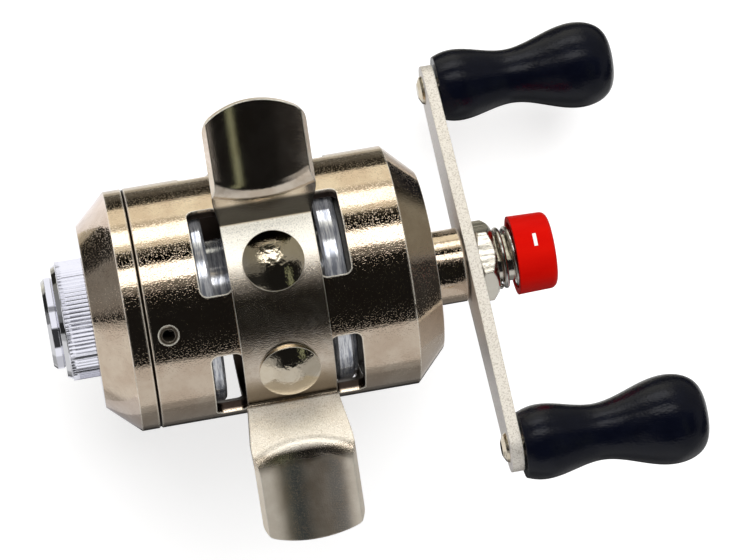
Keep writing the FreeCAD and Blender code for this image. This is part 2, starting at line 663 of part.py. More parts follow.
def foot_blank():
    """Strip and troughs met at the crease, before the outline is cut."""
    strip, bend_end, along, down = foot_strip()
    thickness = value("foot_thickness")
    inner = value("trough_radius")
    length = value("foot_half_length + 10 * overrun")
    axis_height = value("seat_height + trough_radius")
    saddle_end = value("saddle_radius * sin(saddle_wrap * 1 deg)")
    start = Vector(0, -length, axis_height)
    hollow = Part.makeCylinder(inner, 2 * length, start, Vector(0, 1, 0))
    sheet = Part.makeCylinder(inner + thickness, 2 * length, start, Vector(0, 1, 0)).cut(hollow)
    low = bend_end - along * (2 * length) + Vector(-length - bend_end.x, 0, 0)
    high = low + along * (4 * length)
    side = Part.Face(Part.makePolygon([low, high, high + down * 2 * length, low + down * 2 * length, low]))
    beyond = side.extrude(Vector(2 * length, 0, 0))
    beyond = beyond.fuse(beyond.mirror(Vector(), Vector(0, 1, 0)))
    outer_part = Part.makeBox(2 * length, 2 * length, 2 * length, Vector(-length, saddle_end, 0))
    outer_part = outer_part.fuse(outer_part.mirror(Vector(), Vector(0, 1, 0)))
    troughs = sheet.common(beyond).common(outer_part)
    below = Part.makeBox(4 * length, 4 * length, axis_height, Vector(-2 * length, -2 * length, 0))
    return strip.cut(hollow).fuse(troughs.common(below)).removeSplitter()


def foot_outline():
    """Prism of the flat outline: straight over the barrel, wider ends with bulged, round-cornered tips."""
    narrow = value("saddle_half_width")
    wide = value("foot_half_width")
    bend = value("(saddle_radius + foot_bend_radius) * sin(saddle_wrap * 1 deg)")
    shoulder = value("foot_widening")
    middle = value("foot_shift")
    tip = value("foot_half_length")
    side = tip - value("tip_bulge")
    right = [Vector(narrow, -bend, 0), Vector(narrow, bend, 0), Vector(wide, shoulder, 0),
             Vector(wide, middle + side, 0)]
    left = [Vector(-point.x, point.y, 0) for point in reversed(right)]
    low_right = [Vector(wide, middle - side, 0), Vector(wide, -shoulder, 0)]
    low_left = [Vector(-wide, -shoulder, 0), Vector(-wide, middle - side, 0)]
    edges = Part.makePolygon(low_right + right).Edges
    edges.append(Part.Arc(right[-1], Vector(0, middle + tip, 0), left[0]).toShape())
    edges += Part.makePolygon(left + low_left).Edges
    edges.append(Part.Arc(low_left[-1], Vector(0, middle - tip, 0), low_right[0]).toShape())
    prism = Part.Face(Part.Wire(edges)).extrude(Vector(0, 0, value("seat_height") * 2))
    corners = [edge for edge in prism.Edges
               if isinstance(edge.Curve, Part.Line) and abs(edge.tangentAt(edge.FirstParameter).z) > 0.5
               and abs(abs(edge.CenterOfMass.y - middle) - side) < 0.01]
    return prism.makeFillet(value("tip_corner"), corners)


def foot_plate():
    """The blank cut to its outline, square through the sheet along the troughs, with the crests rounded."""
    axis_height = value("seat_height + trough_radius")
    low = value("seat_height")
    slope = value("foot_half_width / sqrt((trough_radius + foot_thickness)^2 - foot_half_width^2)")
    far = 2 * value("foot_half_length")
    corners = [(0, axis_height), ((axis_height - low) * slope, low), (far, low), (far, axis_height), (0, axis_height)]
    wedge = Part.Face(Part.makePolygon([Vector(x, -far, z) for x, z in corners])).extrude(Vector(0, 2 * far, 0))
    wedges = wedge.fuse(wedge.mirror(Vector(), Vector(1, 0, 0)))
    foot_shape = foot_blank().common(foot_outline()).cut(wedges)
    crest = value("crest_radius")
    thickness = value("foot_thickness")
    top = value("seat_height")
    for height, radius in ((top, crest), (top - thickness, crest - thickness)):
        creases = [edge for edge in foot_shape.Edges
                   if isinstance(edge.Curve, Part.Ellipse) and abs(edge.BoundBox.ZMin - height) < 0.01]
        foot_shape = foot_shape.makeFillet(radius, creases)
    return foot_shape


foot = less(
    "foot",
    formed("foot_cut_out", foot_plate()),
    spoke("foot_hole_front", "rivet_shank_radius + fit_gap", "0", "barrel_radius - overrun",
          "foot_thickness + 3 * overrun",
          "rivet_angle"),
    spoke("foot_hole_back", "rivet_shank_radius + fit_gap", "0", "barrel_radius - overrun",
          "foot_thickness + 3 * overrun",
          "-rivet_angle"),
)
on_barrel_axis(foot, "reel_foot")


# Foot rivets: domed heads with a thin rim on the saddle, shanks through foot and barrel, set ends inside.
def rivet(name, angle):
    rise = "(rivet_head_height - rivet_rim_height)"
    ball_radius = f"(rivet_head_radius * rivet_head_radius + {rise} * {rise}) / (2 * {rise})"
    ball = DOC.addObject("Part::Sphere", name + "_ball")
    ball_centre = f"(saddle_radius + rivet_head_height - {ball_radius})"
    bind(ball, Radius=ball_radius)
    bind(ball, Placement__Base__y=f"{ball_centre} * sin(({angle}) * 1 deg)")
    bind(ball, Placement__Base__z=f"{ball_centre} * cos(({angle}) * 1 deg)")
    disc = spoke(name + "_disc", "rivet_head_radius", "0", "saddle_radius - rivet_head_height",
                 "2 * rivet_head_height + overrun", angle)
    head = less(name + "_head", shared(name + "_cap", ball, disc),
                rod(name + "_saddle", "saddle_radius", "-barrel_half_length", "2 * barrel_half_length"))
    shank = spoke(name + "_shank", "rivet_shank_radius", "0", "bore_radius - overrun / 2",
                  "barrel_wall + foot_seat_gap + foot_thickness + 1.5 * overrun", angle)
    tail_top = "sqrt(bore_radius * bore_radius - rivet_tail_radius * rivet_tail_radius)"
    tail = spoke(name + "_tail", "rivet_tail_radius", "0", f"{tail_top} - rivet_tail_height",
                 "rivet_tail_height", angle)
    return joined(name, head, shank, tail)


rivets = DOC.addObject("Part::Compound", "rivet_pair")
rivets.Links = [rivet("rivet_front", "rivet_angle"), rivet("rivet_back", "-rivet_angle")]
on_barrel_axis(rivets, "foot_rivets")

# Rear boss, bush and thrust washer: all round the crank axis, all fixed in the rear wall.
boss = turned("boss", [
    ("rear_inside", "bush_radius + fit_gap / 2"),
    ("rear_inside", "boss_radius"),
    ("boss_end - edge_break", "boss_radius"),
    ("boss_end", "boss_radius - edge_break"),
    ("boss_end", "bush_radius + fit_gap / 2"),
])
on_crank_axis(boss, "rear_boss")

bush = turned("bush", [
    ("rear_inside", "shaft_radius + fit_gap"),
    ("rear_inside", "bush_radius"),
    ("boss_end", "bush_radius"),
    ("boss_end", "shaft_radius + fit_gap"),
])
on_crank_axis(bush, "crank_bush")

washer = turned("washer", [
    ("rear_inside - washer_thickness", "shaft_radius + body_gap"),
    ("rear_inside - washer_thickness", "washer_radius"),
    ("rear_inside", "washer_radius"),
    ("rear_inside", "shaft_radius + body_gap"),
])
on_crank_axis(washer, "thrust_washer")

# Deck plate: a disc with a long tube; the spool turns on the tube and the shafts run in it.
deck = turned("deck", [
    ("deck_back", "hub_bore_radius"),
    ("deck_back", "bore_radius - fit_gap"),
    ("deck_front", "bore_radius - fit_gap"),
    ("deck_front", "hub_radius"),
    ("clip_back", "hub_radius"),
    ("clip_back", "hub_radius - clip_groove"),
    ("clip_front", "hub_radius - clip_groove"),
    ("clip_front", "hub_radius"),
    ("hub_front", "hub_radius"),
    ("hub_front", "hub_bore_radius"),
])
on_barrel_axis(deck, "deck_plate")

snap_blank = turned("snap_blank", [
    ("snap_front", "bore_radius - snap_ring_height"),
    ("snap_front", "bore_radius + snap_ring_depth - fit_gap"),
    ("snap_back", "bore_radius + snap_ring_depth - fit_gap"),
    ("snap_back", "bore_radius - snap_ring_height"),
])
snap = less("snap", snap_blank, block("snap_opening", "snap_front - overrun", "-snap_ring_opening / 2",
                                      "-barrel_radius",
                                      "snap_ring_thickness + 2 * overrun", "snap_ring_opening",
                                      "barrel_radius"))
on_barrel_axis(snap, "deck_snap_ring")

drag = turned("drag", [
    ("drag_front", "hub_radius + body_gap"),
    ("drag_front", "drag_radius"),
    ("deck_front", "drag_radius"),
    ("deck_front", "hub_radius + body_gap"),
])
on_barrel_axis(drag, "drag_washer")

clip_blank = turned("clip_blank", [
    ("clip_front", "hub_radius - clip_groove + fit_gap"),
    ("clip_front", "clip_radius"),
    ("clip_back", "clip_radius"),
    ("clip_back", "hub_radius - clip_groove + fit_gap"),
])
clip = less("clip", clip_blank, block("clip_opening", "clip_front - overrun", "-hub_bore_radius",
                                      "-barrel_radius",
                                      "clip_thickness + 2 * overrun", "2 * hub_bore_radius",
                                      "barrel_radius"))
on_barrel_axis(clip, "spool_clip")

pinion_bush = turned("pinion_bearing", [
    ("deck_back - pinion_bush_length", "sleeve_radius + fit_gap"),
    ("deck_back - pinion_bush_length", "hub_bore_radius - fit_gap / 2"),
    ("deck_back", "hub_bore_radius - fit_gap / 2"),
    ("deck_back", "pinion_flange_radius"),
    ("teeth_front - body_gap", "pinion_flange_radius"),
    ("teeth_front - body_gap", "sleeve_radius + fit_gap"),
])
on_barrel_axis(pinion_bush, "pinion_bush")

front_bush = turned("front_bearing", [
    ("hub_front", "main_radius + fit_gap"),
    ("hub_front", "hub_bore_radius - fit_gap / 2"),
    ("front_bush_back", "hub_bore_radius - fit_gap / 2"),
    ("front_bush_back", "main_radius + fit_gap"),
])
on_barrel_axis(front_bush, "main_shaft_bush")

# Line spool: drum and two bevelled flanges on a running bore.
spool = turned("spool", [
    ("spool_front", "hub_radius + fit_gap"),
    ("spool_front", "spool_radius - spool_edge"),
    ("spool_front + spool_edge", "spool_radius"),
    ("spool_front_inner - spool_edge / 2", "spool_radius"),
    ("spool_front_inner", "spool_radius - spool_edge / 2"),
    ("spool_front_inner - spool_dish", "drum_radius"),
    ("spool_rear_inner + spool_dish", "drum_radius"),
    ("spool_rear_inner", "spool_radius - spool_edge / 2"),
    ("spool_rear_inner + spool_edge / 2", "spool_radius"),
    ("spool_back - spool_edge", "spool_radius"),
    ("spool_back", "spool_radius - spool_edge"),
    ("spool_back", "hub_radius + fit_gap"),
])
on_barrel_axis(spool, "line_spool")

# Crank shaft: hollow, with two flats for the arm and a riveted end that holds the ring gear.
shaft_blank = turned("shaft_blank", [
    ("shaft_head_front", "push_rod_radius + fit_gap"),
    ("shaft_head_front", "shaft_head_radius"),
    ("web_front", "shaft_head_radius"),
    ("web_front", "shaft_neck_radius"),
    ("shaft_start", "shaft_neck_radius"),
    ("shaft_start", "shaft_radius"),
    ("shaft_end - edge_break", "shaft_radius"),
    ("shaft_end", "shaft_radius - edge_break"),
    ("shaft_end", "push_rod_radius + fit_gap"),
])
shaft = less(
    "shaft", shaft_blank,
    block("upper_flat", "arm_front", "-shaft_radius", "shaft_flats / 2", "shaft_end - arm_front + overrun",
          "2 * shaft_radius", "shaft_radius"),
    block("lower_flat", "arm_front", "-shaft_radius", "-shaft_flats / 2 - shaft_radius",
          "shaft_end - arm_front + overrun", "2 * shaft_radius", "shaft_radius"),
)
on_crank_axis(shaft, "crank_shaft")


# Gears: a ring gear on the crank shaft drives a smaller pinion on the barrel axis.
def toothed_wire(x, teeth, tip, root, thickness):
    """Gear outline; each flank is an arc through three points of its involute, teeth centred on +Y."""
    pressure = math.radians(value("pressure_angle"))
    pitch = value("tooth_module") * teeth / 2
    base = pitch * math.cos(pressure)

    def half_angle(radius):
        roll = math.acos(min(1.0, base / radius))
        return thickness / (2 * pitch) + math.tan(pressure) - pressure - math.tan(roll) + roll

    foot_radius = max(base, root)
    radii = [foot_radius, (foot_radius + tip) / 2, tip]
    edges = []
    for tooth in range(teeth):
        centre = 2 * math.pi * tooth / teeth
        following = centre + 2 * math.pi / teeth
        rising = [polar(x, radius, centre - half_angle(radius)) for radius in radii]
        falling = [polar(x, radius, centre + half_angle(radius)) for radius in reversed(radii)]
        edges.append(Part.Arc(*rising).toShape())
        edges.append(Part.Arc(rising[-1], polar(x, tip, centre), falling[0]).toShape())
        edges.append(Part.Arc(*falling).toShape())
        valley = [centre + half_angle(foot_radius), (centre + following) / 2, following - half_angle(foot_radius)]
        bottom = [polar(x, root, angle) for angle in valley]
        if foot_radius > root:
            edges.append(Part.makeLine(falling[-1], bottom[0]))
        edges.append(Part.Arc(*bottom).toShape())
        if foot_radius > root:
            edges.append(Part.makeLine(bottom[-1], polar(x, foot_radius, valley[-1])))
    return Part.Wire(edges)


def toothed_prism(teeth, tip, root, play, start, length):
    tooth = math.pi * value("tooth_module") / 2 + play * value("tooth_backlash") / 2
    wire = toothed_wire(start, teeth, tip, root, tooth)
    return Part.Face(wire).extrude(Vector(length, 0, 0))


ring_blank = turned("ring_blank", [
    ("teeth_front", "ring_tip - overrun / 2"),
    ("teeth_front", "ring_radius"),
    ("shaft_start - ring_bevel", "ring_radius"),
    ("shaft_start", "ring_radius - ring_bevel"),
    ("shaft_start", "shaft_neck_radius + fit_gap / 2"),
    ("web_front", "shaft_neck_radius + fit_gap / 2"),
    ("web_front", "ring_root"),
    ("teeth_back", "ring_root"),
    ("teeth_back", "ring_tip - overrun / 2"),
])
ring_space = toothed_prism(int(value("ring_teeth")), value("ring_root"), value("ring_tip"), 1,
                           value("teeth_front - overrun"), value("tooth_length + 2 * overrun"))
ring = less("ring", ring_blank, formed("ring_space", ring_space))
ring.Label = "ring_gear"
bind(ring, Placement__Base__y="-crank_offset", Placement__Base__z="-seat_height")
NODES["ring_gear"] = ring

pinion_teeth = toothed_prism(int(value("pinion_teeth")), value("pinion_pitch + addendum * tooth_module"),
                             value("pinion_pitch - dedendum * tooth_module"), -1,
                             value("teeth_front"), value("tooth_length"))
keyway = shared(
    "keyway",
    rod("keyway_round", "main_radius + fit_gap", "sleeve_front - overrun",
        "teeth_back - sleeve_front + 2 * overrun"),
    block("keyway_flat", "sleeve_front - overrun", "-main_radius - overrun", "-main_flats / 2 - fit_gap",
          "teeth_back - sleeve_front + 2 * overrun", "2 * main_radius + 2 * overrun",
          "main_flats + 2 * fit_gap"),
)
pinion = less(
    "pinion",
    joined("pinion_blank", formed("pinion_teeth_prism", pinion_teeth),
           rod("pinion_sleeve", "sleeve_radius", "sleeve_front", "sleeve_length + overrun")),
    keyway,
    rod("pinion_recess", "thrust_disc_radius + body_gap", "recess_floor",
        "teeth_back - recess_floor + overrun"),
)
on_barrel_axis(pinion, "pinion_gear")

# Crank arm: a flat bar, widest round the shaft, with rounded ends and a rivet hole near each.
arm_blank = plate("arm_blank", [
    ("-arm_half_length", "-arm_end_radius"),
    ("0", "-arm_hub_radius"),
    ("arm_half_length", "-arm_end_radius"),
    ("arm_half_length", "arm_end_radius"),
    ("0", "arm_hub_radius"),
    ("-arm_half_length", "arm_end_radius"),
], "arm_front", "arm_thickness")
arm_round = joined(
    "arm_round", arm_blank,
    rod("arm_end_front", "arm_end_radius", "arm_front", "arm_thickness", "arm_half_length"),
    rod("arm_end_back", "arm_end_radius", "arm_front", "arm_thickness", "-arm_half_length"),
)
arm_keyhole = shared(
    "arm_keyhole",
    rod("arm_keyhole_round", "shaft_radius + fit_gap", "arm_front - overrun", "arm_thickness + 2 * overrun"),
    block("arm_keyhole_flat", "arm_front - overrun", "-shaft_radius - overrun", "-shaft_flats / 2 - fit_gap",
          "arm_thickness + 2 * overrun", "2 * shaft_radius + 2 * overrun", "shaft_flats + 2 * fit_gap"),
)
arm = less(
    "arm", arm_round, arm_keyhole,
    rod("arm_hole_front", "knob_rivet_radius + fit_gap / 2", "arm_front - overrun",
        "arm_thickness + 2 * overrun", "arm_half_length"),
    rod("arm_hole_back", "knob_rivet_radius + fit_gap / 2", "arm_front - overrun",
        "arm_thickness + 2 * overrun", "-arm_half_length"),
)
on_crank_axis(arm, "crank_arm")

# Nut: a hexagon with bevelled corners next to the arm and a conical crown at its back.
nut_corner = "nut_flats / sqrt(3)"
nut_lathe = turned("nut_lathe", [
    ("arm_back", "shaft_radius + fit_gap"),
    ("arm_back", "nut_flats / 2"),
    ("arm_back + nut_bevel", f"{nut_corner} + fit_gap"),
    ("nut_back - nut_crown", f"{nut_corner} + fit_gap"),
    ("nut_back", "nut_face_radius"),
    ("nut_back", "shaft_radius + fit_gap"),
])
nut = shared("nut", hexagon("nut_hexagon", "nut_flats", "arm_back", "nut_thickness"), nut_lathe)
on_crank_axis(nut, "crank_nut", "nut_angle")


# Knob rivets: a domed head on the arm's front face and a shank that the knob snaps on to.
def knob_rivet(name, y):
    body = turned(name + "_lathe", [
        ("arm_front - knob_rivet_head_height", "0"),
        ("arm_front - knob_rivet_head_height", "knob_rivet_head_radius / 2"),
        ("arm_front - knob_rivet_head_height / 2", "knob_rivet_shoulder"),
        ("arm_front", "knob_rivet_head_radius"),
        ("arm_front", "knob_rivet_radius"),
        ("collar_place", "knob_rivet_radius"),
        ("collar_place", "knob_collar_radius"),
        ("collar_place + knob_collar_length", "knob_collar_radius"),
        ("knob_front + knob_rivet_length", "knob_rivet_radius / 2"),
        ("knob_front + knob_rivet_length", "0"),
    ])
    bind(body, Placement__Base__y=y)
    return body


knob_rivets = DOC.addObject("Part::Compound", "knob_rivet_pair")
knob_rivets.Links = [knob_rivet("knob_rivet_front", "arm_half_length"),
                     knob_rivet("knob_rivet_back", "-arm_half_length")]
on_crank_axis(knob_rivets, "knob_rivets")


# Knobs: moulded, waisted, turning on their rivets.
def knob_shape():
    """Outside from a smooth curve through the bulges and the waist, with the stepped bore for the rivet."""
    start = value("knob_front")
    length = value("knob_length")
    curve_points = [
        Vector(start, value("knob_mouth_radius"), 0),
        Vector(start + value("knob_inner_place"), value("knob_inner_radius"), 0),
        Vector(start + value("knob_waist_place"), value("knob_waist_radius"), 0),
        Vector(start + value("knob_outer_place"), value("knob_outer_radius"), 0),
        Vector(start + length - value("knob_end_rounding"), value("knob_shoulder_radius"), 0),
        Vector(start + length, value("knob_end_radius"), 0),
    ]
    curve = Part.BSplineCurve()
    curve.interpolate(curve_points)
    bore = value("knob_rivet_radius + fit_gap")
    groove = value("knob_collar_radius + 2 * fit_gap")
    collar = value("collar_place - body_gap")
    collar_end = value("collar_place + knob_collar_length + body_gap")
    bore_end = value("knob_front + knob_rivet_length + body_gap")
    inside = [(start + length, 0), (bore_end, 0), (bore_end, bore), (collar_end, groove), (collar, groove),
              (collar, bore), (start, bore)]
    corners = [curve_points[-1]] + [Vector(x, radius, 0) for x, radius in inside] + [curve_points[0]]
    edges = [curve.toShape()] + Part.makePolygon(corners).Edges
    return Part.Face(Part.Wire(edges)).revolve(Vector(), Vector(1, 0, 0), 360)


for node, side in (("crank_knob_upper", "-"), ("crank_knob_lower", "")):
    knob = formed(node + "_shape", knob_shape())
    knob.Label = node
    bind(knob, Placement__Base__y=f"-crank_offset + {side}1 * arm_half_length * cos(crank_rest_angle * 1 deg)")
    bind(knob, Placement__Base__z=f"-seat_height - {side}1 * arm_half_length * sin(crank_rest_angle * 1 deg)")
    NODES[node] = knob


# Springs: one unbroken wire each, its turns as quarter-turn pairs of arcs, its ends straight along the axis.
def arc_pair(start, start_way, stop, stop_way):
    """Two tangent arcs from one point and direction to another."""
    chord = stop - start
    ways = start_way + stop_way
    spread = 2 * (1 - start_way.dot(stop_way))
    along = chord.dot(ways)
    reach = (-along + math.sqrt(along * along + spread * chord.dot(chord))) / spread
    first = start + start_way * reach
    second = stop - stop_way * reach
    meeting = (first + second) * 0.5
    arcs = []
    for low, corner, high in ((start, first, meeting), (meeting, second, stop)):
        middle = (low + high) * 0.5
        rise = corner - middle
        turn = 2 * math.atan2(rise.Length, (high - low).Length / 2)
        crown = middle + FreeCAD.Vector(rise).normalize() * ((high - low).Length / 2 * math.tan(turn / 4))
        arcs.append(Part.Arc(low, crown, high))
    return arcs


def coil(name, wire, radius, turns, start, stop):
    """Round wire wound about the X axis between two faces; prints its least gap to itself."""
    bend = value("spring_bend")
    lead = start + wire + bend
    rise = stop - start - 2 * (wire + bend)
    quarters = round(turns * 4)

    def point(quarter):
        return polar(lead + rise * quarter / quarters, radius, math.pi / 2 * quarter)

    def way(quarter):
        angle = math.pi / 2 * quarter
        return Vector(rise / turns, -2 * math.pi * radius * math.sin(angle),
                      2 * math.pi * radius * math.cos(angle)).normalize()

    axial = Vector(1, 0, 0)
    first_way, last_way = way(0), way(quarters)
    foot = point(0) - Vector(bend, 0, 0) - Vector(0, first_way.y, first_way.z) * bend
    head = point(quarters) + Vector(bend, 0, 0) + Vector(0, last_way.y, last_way.z) * bend
    curves = [Part.LineSegment(foot - axial * wire, foot)]
    curves += arc_pair(foot, axial, point(0), first_way)
    for quarter in range(quarters):
        curves += arc_pair(point(quarter), way(quarter), point(quarter + 1), way(quarter + 1))
    curves += arc_pair(point(quarters), last_way, head, axial)
    curves.append(Part.LineSegment(head, head + axial * wire))
    spine = Part.Wire([curve.toShape() for curve in curves])
    section = Part.Wire(Part.makeCircle(wire / 2, foot - axial * wire, axial))
    solid = spine.makePipeShell([section], True, False)
    samples = spine.discretize(Distance=wire / 4)
    apart = int(math.pi * wire / (wire / 4)) + 1
    gap = min((samples[low] - samples[high]).Length
              for low in range(len(samples)) for high in range(low + apart, len(samples))) - wire
    share = solid.Volume / (math.pi * wire * wire / 4 * spine.Length)
    print(f"{name}: least gap to itself {gap:.2f} mm, volume over section times length {share:.4f}")
    return solid


button_spring = coil("button_spring", value("spring_wire"), value("spring_radius"), value("spring_turns"),
                     value("nut_back + spring_seat_gap"), value("button_inside - spring_seat_gap"))
on_crank_axis(formed("button_coil", button_spring), "button_spring")

return_spring = coil("shaft_spring", value("return_wire"), value("return_radius"), value("return_turns"),
                     value("front_bush_back + spring_seat_gap"), value("collar_front - spring_seat_gap"))
on_barrel_axis(formed("return_coil", return_spring), "shaft_spring")


# Release button: a red moulded cup on the push rod, with an inlaid index mark.
def button_corners():
    """Profile of the cup, its closed end rounded in straight steps."""
    corners = [
        ("button_front", "button_bore"),
        ("button_front", "button_radius"),
    ]
    for step in range(EDGE_STEPS + 1):
        turn = f"{90 * step / EDGE_STEPS} * 1 deg"
        corners.append((f"button_back - button_edge + button_edge * sin({turn})",
                        f"button_end_radius - button_edge + button_edge * cos({turn})"))
    corners += [
        ("button_back", "0"),
        ("button_inside + push_rod_seat", "0"),
        ("button_inside + push_rod_seat", "push_rod_radius"),
        ("button_inside - button_hub_length", "push_rod_radius"),
        ("button_inside - button_hub_length", "button_hub_radius"),
        ("button_inside", "button_hub_radius"),
        ("button_inside", "button_bore - button_draft"),
    ]
    return corners


mark_tool = DOC.addObject("Part::Compound", "mark_tool")
mark_tool.Links = [block("mark_block", "button_front + mark_place - mark_width / 2", "-mark_length / 2",
                         "button_radius - mark_depth", "mark_width", "mark_length", "button_wall")]
mark_tool.Placement = FreeCAD.Placement(Vector(), FreeCAD.Rotation(Vector(-1, 0, 0), 1))
bind(mark_tool, Placement__Rotation__Angle="mark_angle")
button_blank = turned("button_blank", button_corners())
on_crank_axis(less("button", button_blank, mark_tool), "release_button")
mark = shared("mark", turned("button_solid", [
    ("button_front", "0"),
    ("button_front", "button_radius"),
    ("button_back - button_edge", "button_end_radius"),
    ("button_back - button_edge", "0"),
]), mark_tool)
on_crank_axis(mark, "button_mark")

push_rod = rod("push_rod_body", "push_rod_radius", "disc_back + body_gap",
               "button_inside + push_rod_seat - disc_back - body_gap")
push_rod.Label = "push_rod"
bind(push_rod, Placement__Base__y="-crank_offset", Placement__Base__z="-seat_height")
NODES["push_rod"] = push_rod

# Main shaft: keyed in the pinion, with a thrust disc behind and the spinner head on its front end.
main_blank = turned("main_blank", [
    ("head_front + fit_gap", "0"),
    ("head_front + fit_gap", "main_front_radius"),
    ("head_front + head_hub_length", "main_front_radius"),
    ("head_front + head_hub_length", "main_radius"),
    ("collar_front", "main_radius"),
    ("collar_front", "main_radius - collar_groove"),
    ("collar_back", "main_radius - collar_groove"),
    ("collar_back", "main_radius"),
    ("disc_front", "main_radius"),
    ("disc_front", "thrust_disc_radius"),
    ("disc_back", "thrust_disc_radius"),
    ("disc_back", "0"),
])
flat_start = "sleeve_front - body_gap"
main_shaft = less(
    "main", main_blank,
    block("main_upper_flat", flat_start, "-main_radius - overrun", "main_flats / 2",
          f"disc_front - ({flat_start})", "2 * main_radius + 2 * overrun", "main_radius"),
    block("main_lower_flat", flat_start, "-main_radius - overrun", "-main_flats / 2 - main_radius",
          f"disc_front - ({flat_start})", "2 * main_radius + 2 * overrun", "main_radius"),
)
on_barrel_axis(main_shaft, "main_shaft")

collar = turned("collar", [
    ("collar_front", "main_radius - collar_groove + fit_gap / 2"),
    ("collar_front", "collar_radius"),
    ("collar_back", "collar_radius"),
    ("collar_back", "main_radius - collar_groove + fit_gap / 2"),
])
on_barrel_axis(collar, "shaft_collar")

# Spinner head: a thin cup whose pin picks the line up and lays it on the spool.
head_blank = turned("head_blank", [
    ("head_front", "spinner_nut_flats / sqrt(3) + body_gap"),
    ("head_front", "head_nose_radius"),
    ("head_shoulder", "head_radius"),
    ("head_rim", "head_radius"),
    ("head_rim", "head_radius - head_wall"),
    ("head_shoulder + head_wall / 2", "head_radius - head_wall"),
    ("head_front + 1.5 * head_wall", "head_hub_radius"),
    ("head_front + head_hub_length", "head_hub_radius"),
    ("head_front + head_hub_length", "main_front_radius + fit_gap / 2"),
    ("nut_recess", "main_front_radius + fit_gap / 2"),
    ("nut_recess", "spinner_nut_flats / sqrt(3) + body_gap"),
])
head = less("head", head_blank, spoke("pickup_hole", "pickup_radius + fit_gap", "pickup_x",
                                      "head_radius - head_wall - overrun", "head_wall + 2 * overrun"))
on_barrel_axis(head, "spinner_head")

spinner_nut = less(
    "spinner_fastener",
    hexagon("spinner_hexagon", "spinner_nut_flats", "head_front + fit_gap",
            "spinner_nut_thickness - fit_gap"),
    rod("spinner_nut_bore", "main_front_radius + fit_gap / 2", "head_front - overrun",
        "spinner_nut_thickness + 2 * overrun"),
)
on_barrel_axis(spinner_nut, "spinner_nut")

pickup = joined(
    "pickup",
    spoke("pickup_shank", "pickup_radius", "pickup_x", "head_radius - head_wall - pickup_tail",
          "head_wall + pickup_tail + pickup_reach"),
    spoke("pickup_head", "2 * pickup_radius", "pickup_x", "head_radius - head_wall - pickup_tail",
          "pickup_radius"),
)
on_barrel_axis(pickup, "pickup_pin")

DOC.recompute()
failed = [item.Name for item in DOC.Objects if {"Invalid", "Error"} & set(item.State)]
if failed:
    raise RuntimeError("failed objects: " + ", ".join(failed))
for node, item in NODES.items():
    if item.Shape.isNull() or not item.Shape.isValid() or not item.Shape.Solids:
        raise RuntimeError(node + ": no valid solid")

os.makedirs("parts", exist_ok=True)
for node, item in NODES.items():
    item.Shape.exportStep(os.path.join("parts", node + ".step"))
    box = item.Shape.BoundBox
    print(f"{node}: {len(item.Shape.Solids)} solid(s), {item.Shape.Volume:.1f} mm3, "
          f"x {box.XMin:.1f} to {box.XMax:.1f}, y {box.YMin:.1f} to {box.YMax:.1f}, "
          f"z {box.ZMin:.1f} to {box.ZMax:.1f}")
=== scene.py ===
import json
from math import cos, radians, sin

import bpy
import numpy as np
from mathutils import Matrix, Vector


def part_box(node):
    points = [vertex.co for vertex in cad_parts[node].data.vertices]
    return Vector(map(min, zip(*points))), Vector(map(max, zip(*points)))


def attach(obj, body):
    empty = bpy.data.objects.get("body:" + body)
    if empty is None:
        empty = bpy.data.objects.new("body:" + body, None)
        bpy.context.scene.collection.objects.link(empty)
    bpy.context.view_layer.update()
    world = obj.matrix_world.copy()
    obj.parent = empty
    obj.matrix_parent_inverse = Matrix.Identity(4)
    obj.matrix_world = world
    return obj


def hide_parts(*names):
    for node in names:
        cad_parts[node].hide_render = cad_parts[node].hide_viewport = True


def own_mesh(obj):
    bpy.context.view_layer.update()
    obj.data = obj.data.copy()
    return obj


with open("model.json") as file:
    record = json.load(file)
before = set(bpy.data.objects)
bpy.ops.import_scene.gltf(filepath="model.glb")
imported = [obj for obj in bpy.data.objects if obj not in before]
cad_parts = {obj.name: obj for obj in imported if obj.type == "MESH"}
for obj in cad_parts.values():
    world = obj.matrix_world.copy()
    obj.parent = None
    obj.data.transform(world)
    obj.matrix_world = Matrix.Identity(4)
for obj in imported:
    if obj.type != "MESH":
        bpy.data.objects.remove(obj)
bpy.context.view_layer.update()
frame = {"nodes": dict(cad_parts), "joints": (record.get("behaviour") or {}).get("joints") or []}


# Case: barrel, cover and crank boss

# The case is a turned steel can with a bevelled back, and a bevelled cover on its front edge. A boss pressed
# into the back carries the crank. All of it is blasted to a fine grain, and then plated with warm,
# champagne-coloured nickel, which stays bright.

joints = {joint["name"]: joint for joint in frame["joints"]}
barrel_axis = joints["spool_slip"]["pos_m"]     # a point on the axis of barrel, cover and nose
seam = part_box("barrel_housing")[0].x            # where the cover meets the barrel, along the axis
SEAM_LINE_ENDS = (0.00014, 0.00026)                  # metres from the seam over which its dark line of dirt and painted shade ends
UNDER_SKIN = (0.0192, 0.0198)                   # metres from the axis, just inside the barrel's 20 mm
PAST_WINDOWS = (0.0200, 0.0206)                 # metres from the foot's middle, between windows and bevels


